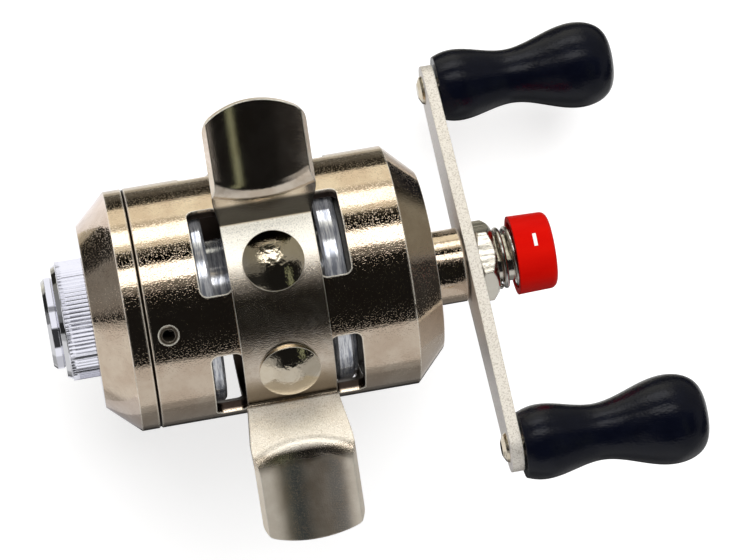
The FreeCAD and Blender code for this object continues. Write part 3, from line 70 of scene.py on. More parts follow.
class Signal:
    """A socket in a node tree. Arithmetic on it adds Math nodes, and add() makes any other node."""

    def __init__(self, tree, socket):
        self.tree, self.socket = tree, socket

    def add(self, kind, settings, values, output=0):
        """One node of a kind: its settings go in first, then the numbers or links of its sockets."""
        node = self.tree.nodes.new(kind)
        for name, value in settings.items():
            setattr(node, name, value)
        for name, value in values.items():
            if isinstance(value, Signal):
                self.tree.links.new(value.socket, node.inputs[name])
            else:
                node.inputs[name].default_value = value
        return Signal(self.tree, node.outputs[output])

    def axis(self, name):
        """X, Y or Z of a place or a direction."""
        return self.add("ShaderNodeSeparateXYZ", {}, {"Vector": self}, name)

    def maths(self, operation, first, second=0.0):
        return self.add("ShaderNodeMath", {"operation": operation}, {0: first, 1: second})

    def __add__(self, other):
        return self.maths("ADD", self, other)

    __radd__ = __add__

    def __sub__(self, other):
        return self.maths("SUBTRACT", self, other)

    def __rsub__(self, other):
        return self.maths("SUBTRACT", other, self)

    def __mul__(self, other):
        return self.maths("MULTIPLY", self, other)

    __rmul__ = __mul__

    def __pow__(self, other):
        return self.maths("POWER", self, other)

    def __abs__(self):
        return self.maths("ABSOLUTE", self)


def new_finish(name):
    """A new material, and as its first signal the place on the piece, in metres."""
    material = bpy.data.materials.new(name)
    material.use_nodes = True
    tree = material.node_tree
    place = tree.nodes.new("ShaderNodeTexCoord").outputs["Object"]
    return material, Signal(tree, place)


def noise(place, per_metre, detail=2.0, roughness=0.5, stretch=(1.0, 1.0, 1.0)):
    """Clouds of 0 to 1, per_metre of them along a metre. Stretch packs them closer along an axis."""
    if stretch != (1.0, 1.0, 1.0):
        place = place.add("ShaderNodeVectorMath", {"operation": "MULTIPLY"}, {0: place, 1: stretch})
    sizes = {"Scale": per_metre, "Detail": detail, "Roughness": roughness}
    return place.add("ShaderNodeTexNoise", {}, {"Vector": place, **sizes})


def step(signal, low, high):
    """A smooth step: 0 below low, 1 above high."""
    return signal.add("ShaderNodeMapRange", {"interpolation_type": "SMOOTHSTEP"},
                      {"Value": signal, "From Min": low, "From Max": high})


def blend(mask, first, second):
    """The first colour where the mask is 0, and the second where it is 1."""
    # A Mix node has its colours on sockets 6 and 7, and gives the mixed colour on its output 2.
    colours = {6: first, 7: second}
    colours = {socket: colour if isinstance(colour, Signal) else (*colour, 1.0)
               for socket, colour in colours.items()}
    return mask.add("ShaderNodeMix", {"data_type": "RGBA"}, {0: mask, **colours}, 2)


def from_axis(across, height, point):
    """Metres from an axis along X: the root of Y squared plus Z squared, measured from a point on it."""
    return ((across - point[1]) ** 2.0 + (height - point[2]) ** 2.0) ** 0.5


def rounded(place, radius):
    """The surface direction with each sharp edge rounded to a radius, in metres."""
    return place.add("ShaderNodeBevel", {"samples": 4}, {"Radius": radius})


def relief(height, depth, direction):
    """A bump: height of 0 to 1 times depth in metres, on a surface direction."""
    return height.add("ShaderNodeBump", {}, {"Height": height, "Distance": depth, "Normal": direction})


def edge_mask(place, radius):
    """1 on edges and 0 on flats: how far the rounded direction leans from the true one."""
    true = place.add("ShaderNodeNewGeometry", {}, {}, "True Normal")
    both = {0: rounded(place, radius), 1: true}
    lean = place.add("ShaderNodeVectorMath", {"operation": "DOT_PRODUCT"}, both, 1)
    return step(1.0 - lean, 0.02, 0.15)


def dress(material, nodes, sockets):
    """Sets the shader's sockets to numbers, colours or signals, and puts the material on CAD nodes."""
    shader = material.node_tree.nodes["Principled BSDF"]
    for name, value in sockets.items():
        if isinstance(value, Signal):
            material.node_tree.links.new(value.socket, shader.inputs[name])
        else:
            shader.inputs[name].default_value = value
    for node in nodes:
        frame["nodes"][node].material_slots[0].material = material


case, place = new_finish("champagne_nickel")
along, across, height = (place.axis(name) for name in "XYZ")
clouds = noise(place, 190, 3.0, 0.6)
grain = noise(place, 2600, 1.0, 0.6)
nubs = step(noise(place, 5200, 0.0), 0.58, 0.78)
tone = blend(step(clouds, 0.35, 0.68), (0.70, 0.56, 0.43), (0.80, 0.67, 0.53))
# Edges are painted pale and less metallic in patches: wear, and a painted highlight along rims and bevels.
edge_wear_and_highlight = edge_mask(place, 0.0005) * step(noise(place, 900), 0.15, 0.45)
tone = blend(edge_wear_and_highlight, tone, (1.0, 0.95, 0.82))
# On the walls of the windows and in the bore the nickel is painted near-black and rougher: painted shade.
# Along the cover's seam runs a dark line of dirt and painted shade.
shaded_bore = 1.0 - step(from_axis(across, height, barrel_axis), *UNDER_SKIN)
shaded_bore = shaded_bore * (1.0 - step(abs(along), *PAST_WINDOWS))
tone = blend(shaded_bore, tone, (0.07, 0.05, 0.04))
seam_dirt_and_shade = 1.0 - step(abs(along - seam), *SEAM_LINE_ENDS)
dress(case, ["barrel_housing", "front_cover", "rear_boss"], {
    "Metallic": 1.0 - 0.8 * edge_wear_and_highlight,
    "Base Color": blend(seam_dirt_and_shade, tone, (0.02, 0.015, 0.01)),
    "Roughness": 0.03 + 0.06 * clouds + 0.3 * seam_dirt_and_shade + 0.3 * shaded_bore,
    "Normal": relief(grain + 0.8 * nubs, 0.000010, rounded(place, 0.00018)),
})


# Cover pin

# A short steel tube is pushed through the barrel into the cover, and locks the two together. Its flat end
# is dark nickel, and both rims are painted pale as a painted highlight.

pin, place = new_finish("pin_nickel")
burr = noise(place, 1600, 3.0, 0.6)
flat_end = blend(burr, (0.14, 0.11, 0.08), (0.26, 0.21, 0.16))
dress(pin, ["cover_pin"], {
    "Metallic": 0.9,
    "Base Color": blend(edge_mask(place, 0.00012), flat_end, (0.95, 0.87, 0.72)),
    "Roughness": 0.24 + 0.16 * burr,
    "Normal": relief(burr, 0.00002, rounded(place, 0.00012)),
})


# Nose rings

# The knurled ring screws into the cover, and the lip ring pressed into it guides the line. Both are turned
# brass with bright chrome, smooth but for a faint orange peel and fine handling scratches. Towards -Y the
# knurl's grooves are darker, with grime and painted shade, and its chrome is painted darker and bluer as
# painted shade.

KNURL_FRONT = (-0.0335, -0.0333)    # metres along the axis, where the knurl starts behind its front bevel
UNDER_KNURL = (0.0093, 0.0095)      # metres from the axis, just under the knurl's grooves
GROOVES = (0.00962, 0.00978)        # metres from the axis, from the grooves' bottoms to their crests
DARK_GROOVE_SIDE = (0.0010, 0.0060)       # metres along Y over which the grooves' grime and painted shade end
PAINTED_SHADE_SIDE = (-0.0085, -0.0055)      # metres along Y over which the knurl's painted shade ends

chrome, place = new_finish("bright_chrome")
along, across, height = (place.axis(name) for name in "XYZ")
peel = noise(place, 900, 1.0)
scuffs = step(noise(place, 700, 4.0, 0.7, (1.0, 6.0, 6.0)), 0.60, 0.72)
off_axis = from_axis(across, height, barrel_axis)
knurled = step(along, *KNURL_FRONT) * step(off_axis, *UNDER_KNURL)
groove_grime_and_shade = knurled * (1.0 - step(off_axis, *GROOVES)) * (1.0 - step(across, *DARK_GROOVE_SIDE))
groove_grime_and_shade = groove_grime_and_shade * step(noise(place, 240), 0.25, 0.55)
plate = blend(noise(place, 300, 3.0), (0.80, 0.80, 0.84), (0.90, 0.90, 0.92))
plate = blend(knurled * (1.0 - step(across, *PAINTED_SHADE_SIDE)), plate, (0.56, 0.56, 0.62))
dress(chrome, ["knurled_nose_ring", "line_guide_ring"], {
    "Metallic": 1.0,
    "Base Color": blend(groove_grime_and_shade, plate, (0.26, 0.26, 0.29)),
    "Roughness": 0.045 + 0.03 * peel + 0.10 * scuffs,
    "Normal": relief(peel, 0.000008, rounded(place, 0.00015)),
})


# Line spool

# The spool behind the windows is turned from one bar and chromed over the lathe's rings. Light and dark
# streaks across its drum and flanges are painted into its colour: painted reflections of the rings.

spool, place = new_finish("spool_chrome")
lathe_rings_and_reflections = noise(place, 240, 4.0, 0.7, (9.0, 1.0, 1.0))
rubbing = noise(place, 420, 3.0)
dress(spool, ["line_spool"], {
    "Metallic": 0.72,
    "Base Color": blend(step(lathe_rings_and_reflections, 0.38, 0.60), (0.38, 0.40, 0.46), (0.94, 0.95, 0.98)),
    "Roughness": 0.07 + 0.08 * rubbing,
    "Normal": relief(lathe_rings_and_reflections, 0.00005, rounded(place, 0.00015)),
})


# Rod foot

# The foot is a strip stamped from 1.5 mm steel: a saddle on the barrel, two risers, and two troughs that go
# under the rings of a rod's reel seat. It has the case's nickel over a coarser, satin sheet, and its
# sheared edges are painted pale: wear, and a painted highlight.

# The places of its marks, in metres. A mark has two edges, over which it comes and goes: first along the
# foot, which is Y, and then across it, which is X.
UPPER_RISER = (0.0151, 0.0155), (0.0190, 0.0200)
LOWER_RISER = (-0.0222, -0.0212), (-0.0156, -0.0152)
PALE_SADDLE = (0.0035, 0.0140), (0.0150, 0.0153)
SHADED_SADDLE_END = (-0.0153, -0.0150), (-0.0135, -0.0090)
SATIN_END = (0.0190, 0.0215)        # where the satin sheet gives way to the smooth upper trough
RUBBED_END = (-0.0250, -0.0225)     # where the lower trough's rubbed finish ends
MIDDLE_REFLECTION_BAND = (-0.0048, -0.0022), (-0.0020, 0.0008)
SIDE_REFLECTION_BAND = (0.0020, 0.0044), (0.0046, 0.0068)
NOSE_SIDE = (-0.0064, -0.0036)
CRANK_SIDE = (0.0052, 0.0074)


def between(signal, rise, fall):
    """1 between two edges: a smooth step up over the first, times one down over the second."""
    return step(signal, *rise) * (1.0 - step(signal, *fall))


foot, place = new_finish("foot_nickel")
along, across = place.axis("X"), place.axis("Y")
clouds = noise(place, 260, 4.0, 0.65)
grain = noise(place, 4500, 2.0, 0.6)
tone = blend(step(clouds, 0.35, 0.65), (0.70, 0.59, 0.47), (0.84, 0.74, 0.62))
# The sheared edges are painted pale: wear, and a painted highlight.
edge_wear_and_highlight = edge_mask(place, 0.0003)
satin = 1.0 - step(across, *SATIN_END)
rubbed = 1.0 - step(across, *RUBBED_END)
# The upper riser is painted dark brown, a painted reflection. The saddle under it is painted pale and less
# metallic as painted light, like the lower riser and the sides of the lower trough. Two grey painted
# reflections run down that trough, and the saddle's lower end is painted darker: painted shade.
painted_reflection_bands = between(along, *MIDDLE_REFLECTION_BAND) + 0.6 * between(along, *SIDE_REFLECTION_BAND)
painted_reflection_bands = rubbed * painted_reflection_bands * step(grain + 0.4 * clouds, 0.40, 0.80)
pale_reflection_sides = rubbed * (1.0 - step(along, *NOSE_SIDE) + step(along, *CRANK_SIDE))
pale_painted_light = between(across, *PALE_SADDLE) + 0.5 * between(across, *LOWER_RISER) + 0.4 * pale_reflection_sides
tone = blend(edge_wear_and_highlight, tone, (0.95, 0.90, 0.80))
tone = blend(between(across, *SHADED_SADDLE_END), tone, (0.34, 0.28, 0.21))
tone = blend(between(across, *UPPER_RISER), tone, (0.035, 0.028, 0.018))
tone = blend(painted_reflection_bands, tone, (0.30, 0.31, 0.31))
dress(foot, ["reel_foot"], {
    "Metallic": 1.0 - pale_painted_light * (0.5 + 0.4 * step(grain, 0.24, 0.58)),
    "Base Color": blend(pale_painted_light, tone, (0.95, 0.91, 0.80)),
    "Roughness": 0.06 + 0.08 * clouds + 0.11 * satin + 0.20 * rubbed - 0.02 * edge_wear_and_highlight,
    "Normal": relief(grain * (0.3 + 0.7 * satin), 0.00004, rounded(place, 0.0003)),
})


# Rivets of foot and knobs

# Two domed steel rivets hold the foot on the barrel, and two smaller ones carry the knobs. Setting them
# leaves the heads hammered in the middle, under bright nickel.

RIVET_LEAN = radians(25.0)      # each of the foot's two rivets leans so far, round the barrel's axis
HAMMERED = (0.0016, 0.0032)     # metres from the rivet's middle over which the deep dents end

rivet, place = new_finish("rivet_nickel")
along, across, height = (place.axis(name) for name in "XYZ")
dents = place.add("ShaderNodeTexVoronoi", {"feature": "SMOOTH_F1"},
                  {"Vector": place, "Scale": 1500.0, "Smoothness": 0.5})
aside = cos(RIVET_LEAN) * abs(across) - sin(RIVET_LEAN) * (height - barrel_axis[2])
hammered = 1.0 - step((aside ** 2.0 + along ** 2.0) ** 0.5, *HAMMERED)
grain = noise(place, 2600, 2.0)
# The rims are painted pale and less metallic: a painted highlight.
rim_highlight = edge_mask(place, 0.00014)
tone = blend(noise(place, 500, 3.0), (0.70, 0.60, 0.45), (0.84, 0.76, 0.62))
dress(rivet, ["foot_rivets", "knob_rivets"], {
    "Metallic": 1.0 - 0.5 * rim_highlight,
    "Base Color": blend(rim_highlight, tone, (0.97, 0.93, 0.85)),
    "Roughness": 0.05 + 0.06 * grain,
    "Normal": relief(dents * (0.2 + 1.5 * hammered) + 1.1 * grain, 0.00003, rounded(place, 0.00025)),
})


# Deck and spinner head

# The plate that carries the spool, and the head that lays the line, are die-cast zinc with a matt, cloudy
# skin. A snap ring holds the plate in the barrel, and a nut holds the head on the main shaft.

zinc, place = new_finish("cast_zinc")
skin = noise(place, 420, 5.0, 0.7)
dress(zinc, ["deck_plate", "spinner_head"], {
    "Metallic": 1.0,
    "Base Color": blend(skin, (0.42, 0.42, 0.43), (0.66, 0.66, 0.66)),
    "Roughness": 0.30 + 0.25 * skin,
    "Normal": relief(noise(place, 1800, 3.0), 0.00008, rounded(place, 0.0002)),
})


# Bushes and thrust washer

# They are sintered bronze, pressed to size and soaked in oil: matt brown-gold, and full of tiny dark pores.
# The bushes are pressed into rear wall and deck, and the washer in the rear wall takes the crank's push.

bronze, place = new_finish("bearing_bronze")
pores = step(place.add("ShaderNodeTexVoronoi", {}, {"Vector": place, "Scale": 4200.0}), 0.10, 0.28)
dress(bronze, ["crank_bush", "thrust_washer", "pinion_bush", "main_shaft_bush"], {
    "Metallic": 1.0,
    "Base Color": blend(pores, (0.16, 0.10, 0.05), (0.62, 0.43, 0.20)),
    "Roughness": 0.48 - 0.12 * pores,
    "Normal": relief(pores, 0.00003, rounded(place, 0.0002)),
})


# Gears

# The ring gear on the crank shaft and the pinion on the barrel's axis are cut from brass bar. The cutter
# leaves fine lines across the faces, and dark grease lies on them in patches.

brass, place = new_finish("gear_brass")
lines = noise(place, 300, 3.0, 0.6, (16.0, 1.0, 1.0))
grease = step(noise(place, 500, 3.0), 0.52, 0.70)
dress(brass, ["ring_gear", "pinion_gear"], {
    "Metallic": 1.0,
    "Base Color": blend(grease, (0.78, 0.58, 0.26), (0.30, 0.20, 0.08)),
    "Roughness": 0.16 + 0.14 * lines + 0.12 * grease,
    "Normal": relief(lines, 0.00003, rounded(place, 0.0001)),
})


# Drag washer

# A disc of pressed wool felt between spool and clip, which brakes the spool when a fish pulls. It is
# grey-black, hairy and dull.

felt, place = new_finish("drag_felt")
hairs = noise(place, 3000, 5.0, 0.8)
dress(felt, ["drag_washer"], {
    "Base Color": blend(hairs, (0.07, 0.065, 0.06), (0.24, 0.23, 0.21)),
    "Roughness": 0.92 + 0.06 * hairs,
    "Normal": relief(hairs, 0.0003, rounded(place, 0.0002)),
    "Sheen Weight": 0.4,
})


# Clips and collar

# The snap ring, the spool's clip and the main shaft's collar are stamped from hard-drawn spring strip, which
# keeps its draw marks and a thin film of oil.

spring, place = new_finish("spring_steel")
marks = noise(place, 1100, 4.0, 0.7)
dress(spring, ["deck_snap_ring", "spool_clip", "shaft_collar"], {
    "Metallic": 1.0,
    "Base Color": blend(marks, (0.46, 0.43, 0.40), (0.80, 0.78, 0.74)),
    "Roughness": 0.10 + 0.14 * marks,
    "Normal": relief(marks, 0.00006, rounded(place, 0.0001)),
})


# Coil springs

# The spring that pushes the button out is coiled from 0.9 mm wire round the end of the crank shaft, with
# closed end turns. The return spring, of 0.7 mm wire, lies round the main shaft, between its front bush and
# its collar. In the reel both shorten as the button goes in; here each keeps its rest length on its own
# body.

crank_axis = joints["crank_spin"]["pos_m"]      # a point on the axis of crank and button
NUT_BACK = 0.0376               # metres along X, where the button's coil starts
BUTTON_INSIDE = 0.0459          # metres along X, where it ends
BUSH_BACK = -0.0095             # metres along X, where the return coil starts
COLLAR_FRONT = 0.0035           # metres along X, where it ends
BUTTON_WIRE = 0.00045           # metres, half the wire's thickness, and so below
RETURN_WIRE = 0.00035
CLOSED_PITCH = 0.00092          # metres that a closed end turn takes along the axis
SEAT_GAP = 0.00002              # metres between the return coil's wire and its seats
POINTS_PER_TURN = 56
WIRE_SIDES = 12
ROUNDED_END = 0.02              # turns at either end of a wire whose points lie closer, for its rounding


def wire(name, path, outward, radius):
    """A round wire with rounded ends.

    Point (i, j) is path point i plus r_i times (outward_i cos a_j + across_i sin a_j), where across is at
    right angles to path and outward. The radius r_i falls to 0 along a quarter circle at either end.
    """
    tangent = np.gradient(path, axis=0)
    tangent /= np.linalg.norm(tangent, axis=1, keepdims=True)
    across = np.cross(tangent, outward)
    across /= np.linalg.norm(across, axis=1, keepdims=True)
    outward = np.cross(across, tangent)
    run = np.concatenate([[0.0], np.cumsum(np.linalg.norm(np.diff(path, axis=0), axis=1))])
    to_end = np.minimum(run, run[-1] - run)
    thick = radius * np.sqrt(1.0 - (1.0 - np.clip(to_end / radius, 0.0, 1.0)) ** 2)
    angle = np.linspace(0.0, 2.0 * np.pi, WIRE_SIDES, endpoint=False)[None, :, None]
    ring = outward[:, None] * np.cos(angle) + across[:, None] * np.sin(angle)
    skin = path[:, None] + thick[:, None, None] * ring
    points = np.concatenate([path[:1], skin[1:-1].reshape(-1, 3), path[-1:]])
    rows = len(path) - 2
    side = np.arange(WIRE_SIDES)
    start = 1 + np.arange(rows - 1)[:, None] * WIRE_SIDES
    here = start + side[None, :]
    beside = start + (side[None, :] + 1) % WIRE_SIDES
    squares = np.stack([here, beside, beside + WIRE_SIDES, here + WIRE_SIDES], axis=-1).reshape(-1, 4)
    last = 1 + (rows - 1) * WIRE_SIDES
    tip = np.full(WIRE_SIDES, len(points) - 1)
    first_fan = np.stack([np.zeros(WIRE_SIDES, int), 1 + (side + 1) % WIRE_SIDES, 1 + side], axis=-1)
    last_fan = np.stack([tip, last + side, last + (side + 1) % WIRE_SIDES], axis=-1)
    mesh = bpy.data.meshes.new(name)
    mesh.from_pydata(points.tolist(), [], squares.tolist() + first_fan.tolist() + last_fan.tolist())
    mesh.polygons.foreach_set("use_smooth", np.ones(len(mesh.polygons), bool))
    thing = bpy.data.objects.new(name, mesh)
    bpy.context.scene.collection.objects.link(thing)
    return thing


def coiled(name, wraps, places, radius, wire_radius, centre, phase):
    """A coil spring round an axis along X.

    Turn t runs from 0 to the last of wraps. x is straight between the places, in metres, that go with wraps,
    and y and z are the centre's plus radius times the cosine and the sine of 2 pi t + phase.
    """
    last = wraps[-1]
    turns = np.concatenate([np.linspace(0.0, ROUNDED_END, 12)[:-1],
                            np.linspace(ROUNDED_END, last - ROUNDED_END, round(POINTS_PER_TURN * last)),
                            np.linspace(last - ROUNDED_END, last, 12)[1:]])
    angle = 2.0 * np.pi * turns + phase
    out = np.stack([0.0 * turns, np.cos(angle), np.sin(angle)], axis=-1)
    middle = np.stack([np.interp(turns, wraps, places), 0.0 * turns + centre[1], 0.0 * turns + centre[2]],
                      axis=-1)
    spring_wire = wire(name, middle + radius * out, out, wire_radius)
    spring_wire.data.materials.append(spring)
    return spring_wire


first = NUT_BACK + BUTTON_WIRE
last = BUTTON_INSIDE - BUTTON_WIRE
button_coil = coiled("button_coil", wraps=[0.0, 1.0, 3.65, 4.65],
                     places=[first, first + CLOSED_PITCH, last - CLOSED_PITCH, last],
                     radius=0.00475, wire_radius=BUTTON_WIRE, centre=crank_axis, phase=2.6)
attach(button_coil, "crank")
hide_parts("button_spring")
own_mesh(button_coil)

first = BUSH_BACK + SEAT_GAP + RETURN_WIRE
last = COLLAR_FRONT - SEAT_GAP - RETURN_WIRE
return_coil = coiled("return_coil", wraps=[0.0, 6.25], places=[first, last],
                     radius=0.0033, wire_radius=RETURN_WIRE, centre=barrel_axis, phase=0.0)
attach(return_coil, "spinner")
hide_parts("shaft_spring")
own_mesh(return_coil)


# Shafts, push rod and pickup pin

# They are ground steel rod: grey and even, with fine rings round their length from the grinding wheel. The
# main shaft and the push rod slide with the button, and the pin slides in the spinner head.

ground, place = new_finish("shaft_steel")
rings = noise(place, 500, 3.0, 0.6, (14.0, 1.0, 1.0))
dress(ground, ["main_shaft", "push_rod", "pickup_pin"], {
    "Metallic": 1.0,
    "Base Color": blend(rings, (0.50, 0.50, 0.51), (0.70, 0.70, 0.70)),
    "Roughness": 0.14 + 0.12 * rings,
    "Normal": relief(rings, 0.00002, rounded(place, 0.0001)),
})


# Crank nut, crank shaft and spinner nut

# The nuts and the hollow crank shaft are turned and milled steel with thin bright nickel. The cutter's lines
# still show through on the nut's flats.

nut, place = new_finish("nut_nickel")
lines = noise(place, 150, 1.0, 0.5, (1.0, 6.0, 6.0))
grain = noise(place, 2400, 2.0)
dress(nut, ["crank_nut", "crank_shaft", "spinner_nut"], {
    "Metallic": 1.0,
    "Base Color": blend(noise(place, 420, 3.0), (0.74, 0.69, 0.60), (0.86, 0.82, 0.73)),
    "Roughness": 0.10 + 0.10 * lines,
    "Normal": relief(1.8 * lines + 0.4 * grain, 0.00002, rounded(place, 0.0003)),
})


# Crank arm

# A double arm blanked from 2 mm steel and plated with pale satin nickel, held on the shaft's flats by the
# nut. The sheared edges are rough, with short lines across the sheet. They are painted lighter and warmer
# than the flat faces, which are painted greyer: painted light and shade.

arm, place = new_finish("arm_nickel")
shear = noise(place, 900, 4.0, 0.7, (0.5, 2.2, 2.2))
mottle = step(noise(place, 3600, 3.0, 0.6), 0.34, 0.54)
true = place.add("ShaderNodeNewGeometry", {}, {}, "True Normal")
# The flat faces are painted greyer and the edges lighter and warmer: painted light and shade.
faces = step(abs(true.axis("X")), 0.7, 0.95)
hollows = blend(faces, (0.68, 0.62, 0.54), (0.70, 0.66, 0.64))
peaks = blend(faces, (0.95, 0.90, 0.82), (0.86, 0.82, 0.79))
dress(arm, ["crank_arm"], {
    "Metallic": 0.62 + 0.16 * faces,
    "Base Color": blend(mottle, hollows, peaks),
    "Roughness": 0.34 + 0.14 * mottle,
    "Normal": relief(shear + 0.4 * mottle, 0.00005, rounded(place, 0.00025)),
})


# Knobs

# Two waisted knobs moulded in black nylon turn on the arm's rivets. They are glossy but not quite smooth:
# the surface waves a little where the thick plastic shrank, and handling has dulled it in patches.

knob, place = new_finish("knob_black")
waves = noise(place, 120, 2.0)
haze = noise(place, 420, 4.0, 0.6)
dress(knob, ["crank_knob_upper", "crank_knob_lower"], {
    "Base Color": blend(haze, (0.001, 0.0013, 0.004), (0.003, 0.004, 0.010)),
    "Specular IOR Level": 0.26,
    "Roughness": 0.13 + 0.16 * haze,
    "Normal": relief(waves + 0.12 * noise(place, 2600, 2.0), 0.0004, rounded(place, 0.0004)),
})


# Thumb button and its mark

# The button is a cup moulded in red plastic on the push rod, with a satin skin and faint sink lines. A short
# white tick is inlaid in its side, and shows how the button stands.

button, place = new_finish("button_red")
flow = noise(place, 300, 3.0, 0.5, (0.4, 1.6, 1.6))
dress(button, ["release_button"], {
    "Base Color": blend(flow, (0.50, 0.002, 0.001), (0.62, 0.006, 0.002)),
    "Specular IOR Level": 0.03,
    "Roughness": 0.36 + 0.12 * flow,
    "Normal": relief(flow + 0.2 * noise(place, 1800, 2.0), 0.00008, rounded(place, 0.0003)),
})

mark, place = new_finish("mark_white")
smudge = noise(place, 1500, 3.0)
dress(mark, ["button_mark"], {
    "Base Color": blend(smudge, (0.78, 0.77, 0.74), (0.92, 0.92, 0.90)),
    "Roughness": 0.30 + 0.2 * smudge,
    "Normal": relief(smudge, 0.00003, rounded(place, 0.0001)),
})


# Studio floor

# The reel hangs a little above a wide floor of pale paper, far enough for the crank to turn. To the camera
# the floor also glows, which makes it nearly white and keeps the shadow. The metal doesn't reflect it.

FLOOR_HEIGHT = -0.068
FLOOR_REACH = 3.0


def on_stage(name, points, faces, material):
    """An object of the studio, made from an array of points and one of faces."""
    mesh = bpy.data.meshes.new(name)
    mesh.from_pydata(points.tolist(), [], faces.tolist())
    mesh.materials.append(material)
    thing = bpy.data.objects.new(name, mesh)
    bpy.context.scene.collection.objects.link(thing)
    return thing


pale, place = new_finish("floor_paper")
speck = noise(place, 60, 3.0)
seen = place.add("ShaderNodeLightPath", {}, {}, "Is Camera Ray")
dress(pale, [], {
    "Base Color": blend(speck, (0.80, 0.80, 0.80), (0.82, 0.82, 0.82)),
    "Roughness": 0.95,
    "Specular IOR Level": 0.1,
    "Emission Color": blend(seen, (0.0, 0.0, 0.0), (1.0, 1.0, 1.0)),
    "Emission Strength": 0.45,
})
corners = np.array([(-1, -1), (1, -1), (1, 1), (-1, 1)]) * FLOOR_REACH
corners = np.column_stack([corners, np.full(4, FLOOR_HEIGHT)])
floor = on_stage("floor", corners, np.array([[0, 1, 2, 3]]), pale)
floor.visible_glossy = False


# What the metal reflects

# Bright metal shows its surroundings, so the reel stands in a round tent of white cloth with dark gaps, and
# a hoop of the same cloth keeps the nose pale. Only reflections see them: the light on the reel comes from
# the room and one soft lamp.

TENT_RADIUS = 0.9
TENT_CENTRE = np.array((0.0, 0.0, -0.022))
# Four rings of the tent, from the nose back. Each list goes round the reel's axis, in degrees from straight
# up towards +Y, and says where a band starts and how bright it is.
FRONT = [(-180, 0.9), (-142, 0.4), (-120, 0.7), (-40, 0.4), (-20, 0.02), (12, 0.14), (35, 0.21), (117, 0.02),
         (148, 0.45), (158, 0.75)]
MIDDLE = [(-180, 0.85), (-168, 0.03), (-141, 0.10), (-132, 0.20), (-100, 0.30), (-90, 0.60), (-41, 0.01),
          (28, 0.17), (37, 2.5), (53, 0.0), (63, 0.03), (71, 0.8), (78, 2.2), (94, 0.6), (102, 1.0),
          (126, 0.03), (142, 0.11), (159, 0.5), (167, 0.85)]
REAR = [(-180, 0.9), (-150, 0.38), (-127, 0.52), (-100, 0.4), (-41, 0.01), (28, 0.3), (140, 0.02),
        (164, 0.15), (173, 0.4)]
REAR_CAP = [(-180, 0.14), (-160, 0.035), (-60, 0.3), (60, 0.23)]
RAMP = 3.0                      # degrees of the straight ramp where two bands meet
# Degrees from the nose's direction, and which of the four rings the tent has there. In between, one ring
# fades into the next.
RING_TURNS = [20.0, 62.0, 76.0, 102.0, 112.0, 142.0, 150.0]
RING_THERE = [0, 0, 1, 1, 2, 2, 3]
AMBER = (0.0, 0.04, 0.20)       # the shares of red, green and blue that warm cloth swallows
# A thin streak of light over the reel's back, in degrees: its turn from the nose's direction, its width, its
# middle round the axis, and its reach to either side of that.
STREAK_TURN = 118.5
STREAK_WIDTH = 1.7
STREAK_MIDDLE = -10.0
STREAK_REACH = 24.0
STREAK_LIGHT = (0.58, 0.64, 0.42)


def bands(angle, steps):
    """Brightness round the axis: each band's own, with a straight ramp of RAMP degrees where two meet."""
    starts, levels = np.array(steps, float).T
    rises = np.diff(levels, prepend=levels[-1:])
    return levels[-1] + sum(rise * np.clip((angle - start) / RAMP + 0.5, 0.0, 1.0)
                            for start, rise in zip(starts, rises))


cloth = bpy.data.materials.new("tent_cloth")
cloth.use_nodes = True
cloth.cycles.emission_sampling = "NONE"
cloth.node_tree.nodes.clear()
bare = Signal(cloth.node_tree, None)
tint = bare.add("ShaderNodeAttribute", {"attribute_name": "glow"}, {}, "Color")
light = bare.add("ShaderNodeEmission", {}, {"Color": tint, "Strength": 1.0})
surface = cloth.node_tree.nodes.new("ShaderNodeOutputMaterial").inputs["Surface"]
cloth.node_tree.links.new(light.socket, surface)


def glowing(name, points, colours):
    """A sheet of the cloth: a grid of points with a colour of light for each, seen by reflections only."""
    rows, columns = points.shape[:2]
    first = np.arange(rows - 1)[:, None] * columns + np.arange(columns - 1)[None, :]
    squares = np.stack([first, first + 1, first + columns + 1, first + columns], axis=-1).reshape(-1, 4)
    sheet = on_stage(name, points.reshape(-1, 3), squares, cloth)
    layer = sheet.data.color_attributes.new("glow", "FLOAT_COLOR", "POINT")
    layer.data.foreach_set("color", np.concatenate([colours, np.ones((rows, columns, 1))], axis=-1).ravel())
    sheet.visible_camera = sheet.visible_diffuse = sheet.visible_shadow = sheet.visible_transmission = False


# The tent is a ball with its poles on the X axis, one point a degree round and one in three degrees along:
# point = centre + radius times (-cos turn, sin turn sin roll, sin turn cos roll).
turn, roll = np.meshgrid(np.linspace(0.0, 180.0, 61), np.linspace(-180.0, 180.0, 361), indexing="ij")
turn_angle, roll_angle = np.radians(turn), np.radians(roll)
ball = np.stack([-np.cos(turn_angle), np.sin(turn_angle) * np.sin(roll_angle),
                 np.sin(turn_angle) * np.cos(roll_angle)], axis=-1)
rings = np.array([bands(roll[0], steps) for steps in (FRONT, MIDDLE, REAR, REAR_CAP)])
share = np.array([np.interp(turn[:, 0], RING_TURNS, np.array(RING_THERE) == ring) for ring in range(4)])
glow = share.T @ rings
# The cloth is warm on the +Y side: it warms over the first 60 degrees and cools over the last 20. It stays
# white where it is very bright, and within 35 degrees of the nose's direction.
warmth = np.clip(roll / 60.0, 0.0, 1.0) * np.clip((180.0 - roll) / 20.0, 0.0, 1.0)
warmth = warmth * np.clip(2.2 - glow, 0.0, 1.0) * np.clip((turn - 35.0) / 15.0, 0.0, 1.0)
colour = glow[..., None] * (1.0 - warmth[..., None] * np.array(AMBER))
streak = np.exp(-((turn - STREAK_TURN) / STREAK_WIDTH) ** 2) * (np.abs(roll - STREAK_MIDDLE) < STREAK_REACH)
glowing("tent", TENT_CENTRE + TENT_RADIUS * ball, colour + streak[..., None] * np.array(STREAK_LIGHT))

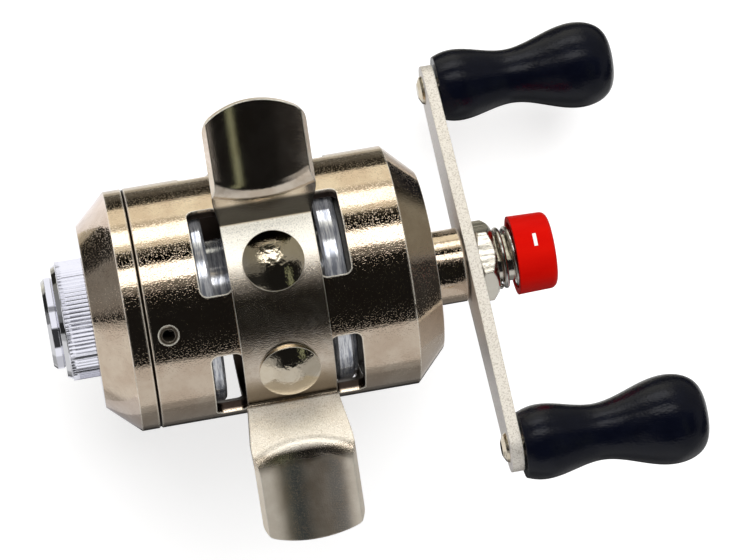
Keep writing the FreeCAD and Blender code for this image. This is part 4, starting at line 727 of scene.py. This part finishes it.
# The hoop is a short tube on the same axis: point = centre + (x, radius sin roll, radius cos roll). Its
# front part, which the lip ring shows, has other bands than the part round the knurl, listed as above.
HOOP_RADIUS = 0.026
HOOP_PLACES = [-0.0395, -0.0338, -0.0337, -0.0270]      # metres along X, two ends for each part
BY_LIP = [(-180, 0.8), (-120, 0.6), (-66, 0.95), (-42, 0.04), (4, 1.0), (40, 0.3), (52, 1.0)]
BY_KNURL = [(-180, 0.8), (-120, 0.34), (-64, 0.95), (-38, 0.05), (-24, 1.05), (0, 0.1), (10, 1.1)]
HOOP_LIGHT = (0.98, 0.98, 1.04)
along, roll = np.meshgrid(HOOP_PLACES, np.linspace(-180.0, 180.0, 181), indexing="ij")
roll_angle = np.radians(roll)
hoop = np.stack([along, HOOP_RADIUS * np.sin(roll_angle), HOOP_RADIUS * np.cos(roll_angle)], axis=-1)
pale_bands = np.stack([bands(roll[0], steps) for steps in (BY_LIP, BY_LIP, BY_KNURL, BY_KNURL)])
glowing("nose_hoop", TENT_CENTRE + hoop, pale_bands[..., None] * np.array(HOOP_LIGHT))


# Lamp and room

# One large soft lamp stands over the far end of the foot. An even white room fills the rest, and lights matt
# surfaces half as strongly as the camera and the metal see it.

lamp = bpy.data.objects.new("soft_lamp", bpy.data.lights.new("soft_lamp", "AREA"))
lamp.data.shape = "DISK"
lamp.data.size = 0.7
lamp.data.energy = 8.0
lamp.location = (0.1, 0.55, 0.75)
lamp.rotation_euler = (-lamp.location).to_track_quat("-Z", "Y").to_euler()
lamp.visible_glossy = False
bpy.context.scene.collection.objects.link(lamp)

room = bpy.data.worlds.new("white_room")
room.use_nodes = True
bpy.context.scene.world = room
on_matt = Signal(room.node_tree, None).add("ShaderNodeLightPath", {}, {}, "Is Diffuse Ray")
background = room.node_tree.nodes["Background"]
background.inputs["Color"].default_value = (1.0, 1.0, 1.0, 1.0)
room.node_tree.links.new((1.0 - on_matt * 0.5).socket, background.inputs["Strength"])


# Camera

# A long lens a little over half a metre above the reel, turned so that the reel's axis runs up to the right,
# as in the photograph.

RIGHT = Vector((0.9819, -0.1408, 0.1267))       # the picture's own directions
UP = Vector((0.1679, 0.9567, -0.2378))
STAND = Vector((-0.0350, 0.1504, 0.5536))       # the lens's place, in metres

camera = bpy.data.objects.new("camera", bpy.data.cameras.new("camera"))
bpy.context.scene.collection.objects.link(camera)
bpy.context.scene.camera = camera
camera.data.lens = 172.8
camera.data.clip_start = 0.05
pose = Matrix((RIGHT, UP, RIGHT.cross(UP))).transposed().to_4x4()
pose.translation = STAND
camera.matrix_world = pose

bpy.context.scene.view_settings.view_transform = "Standard"
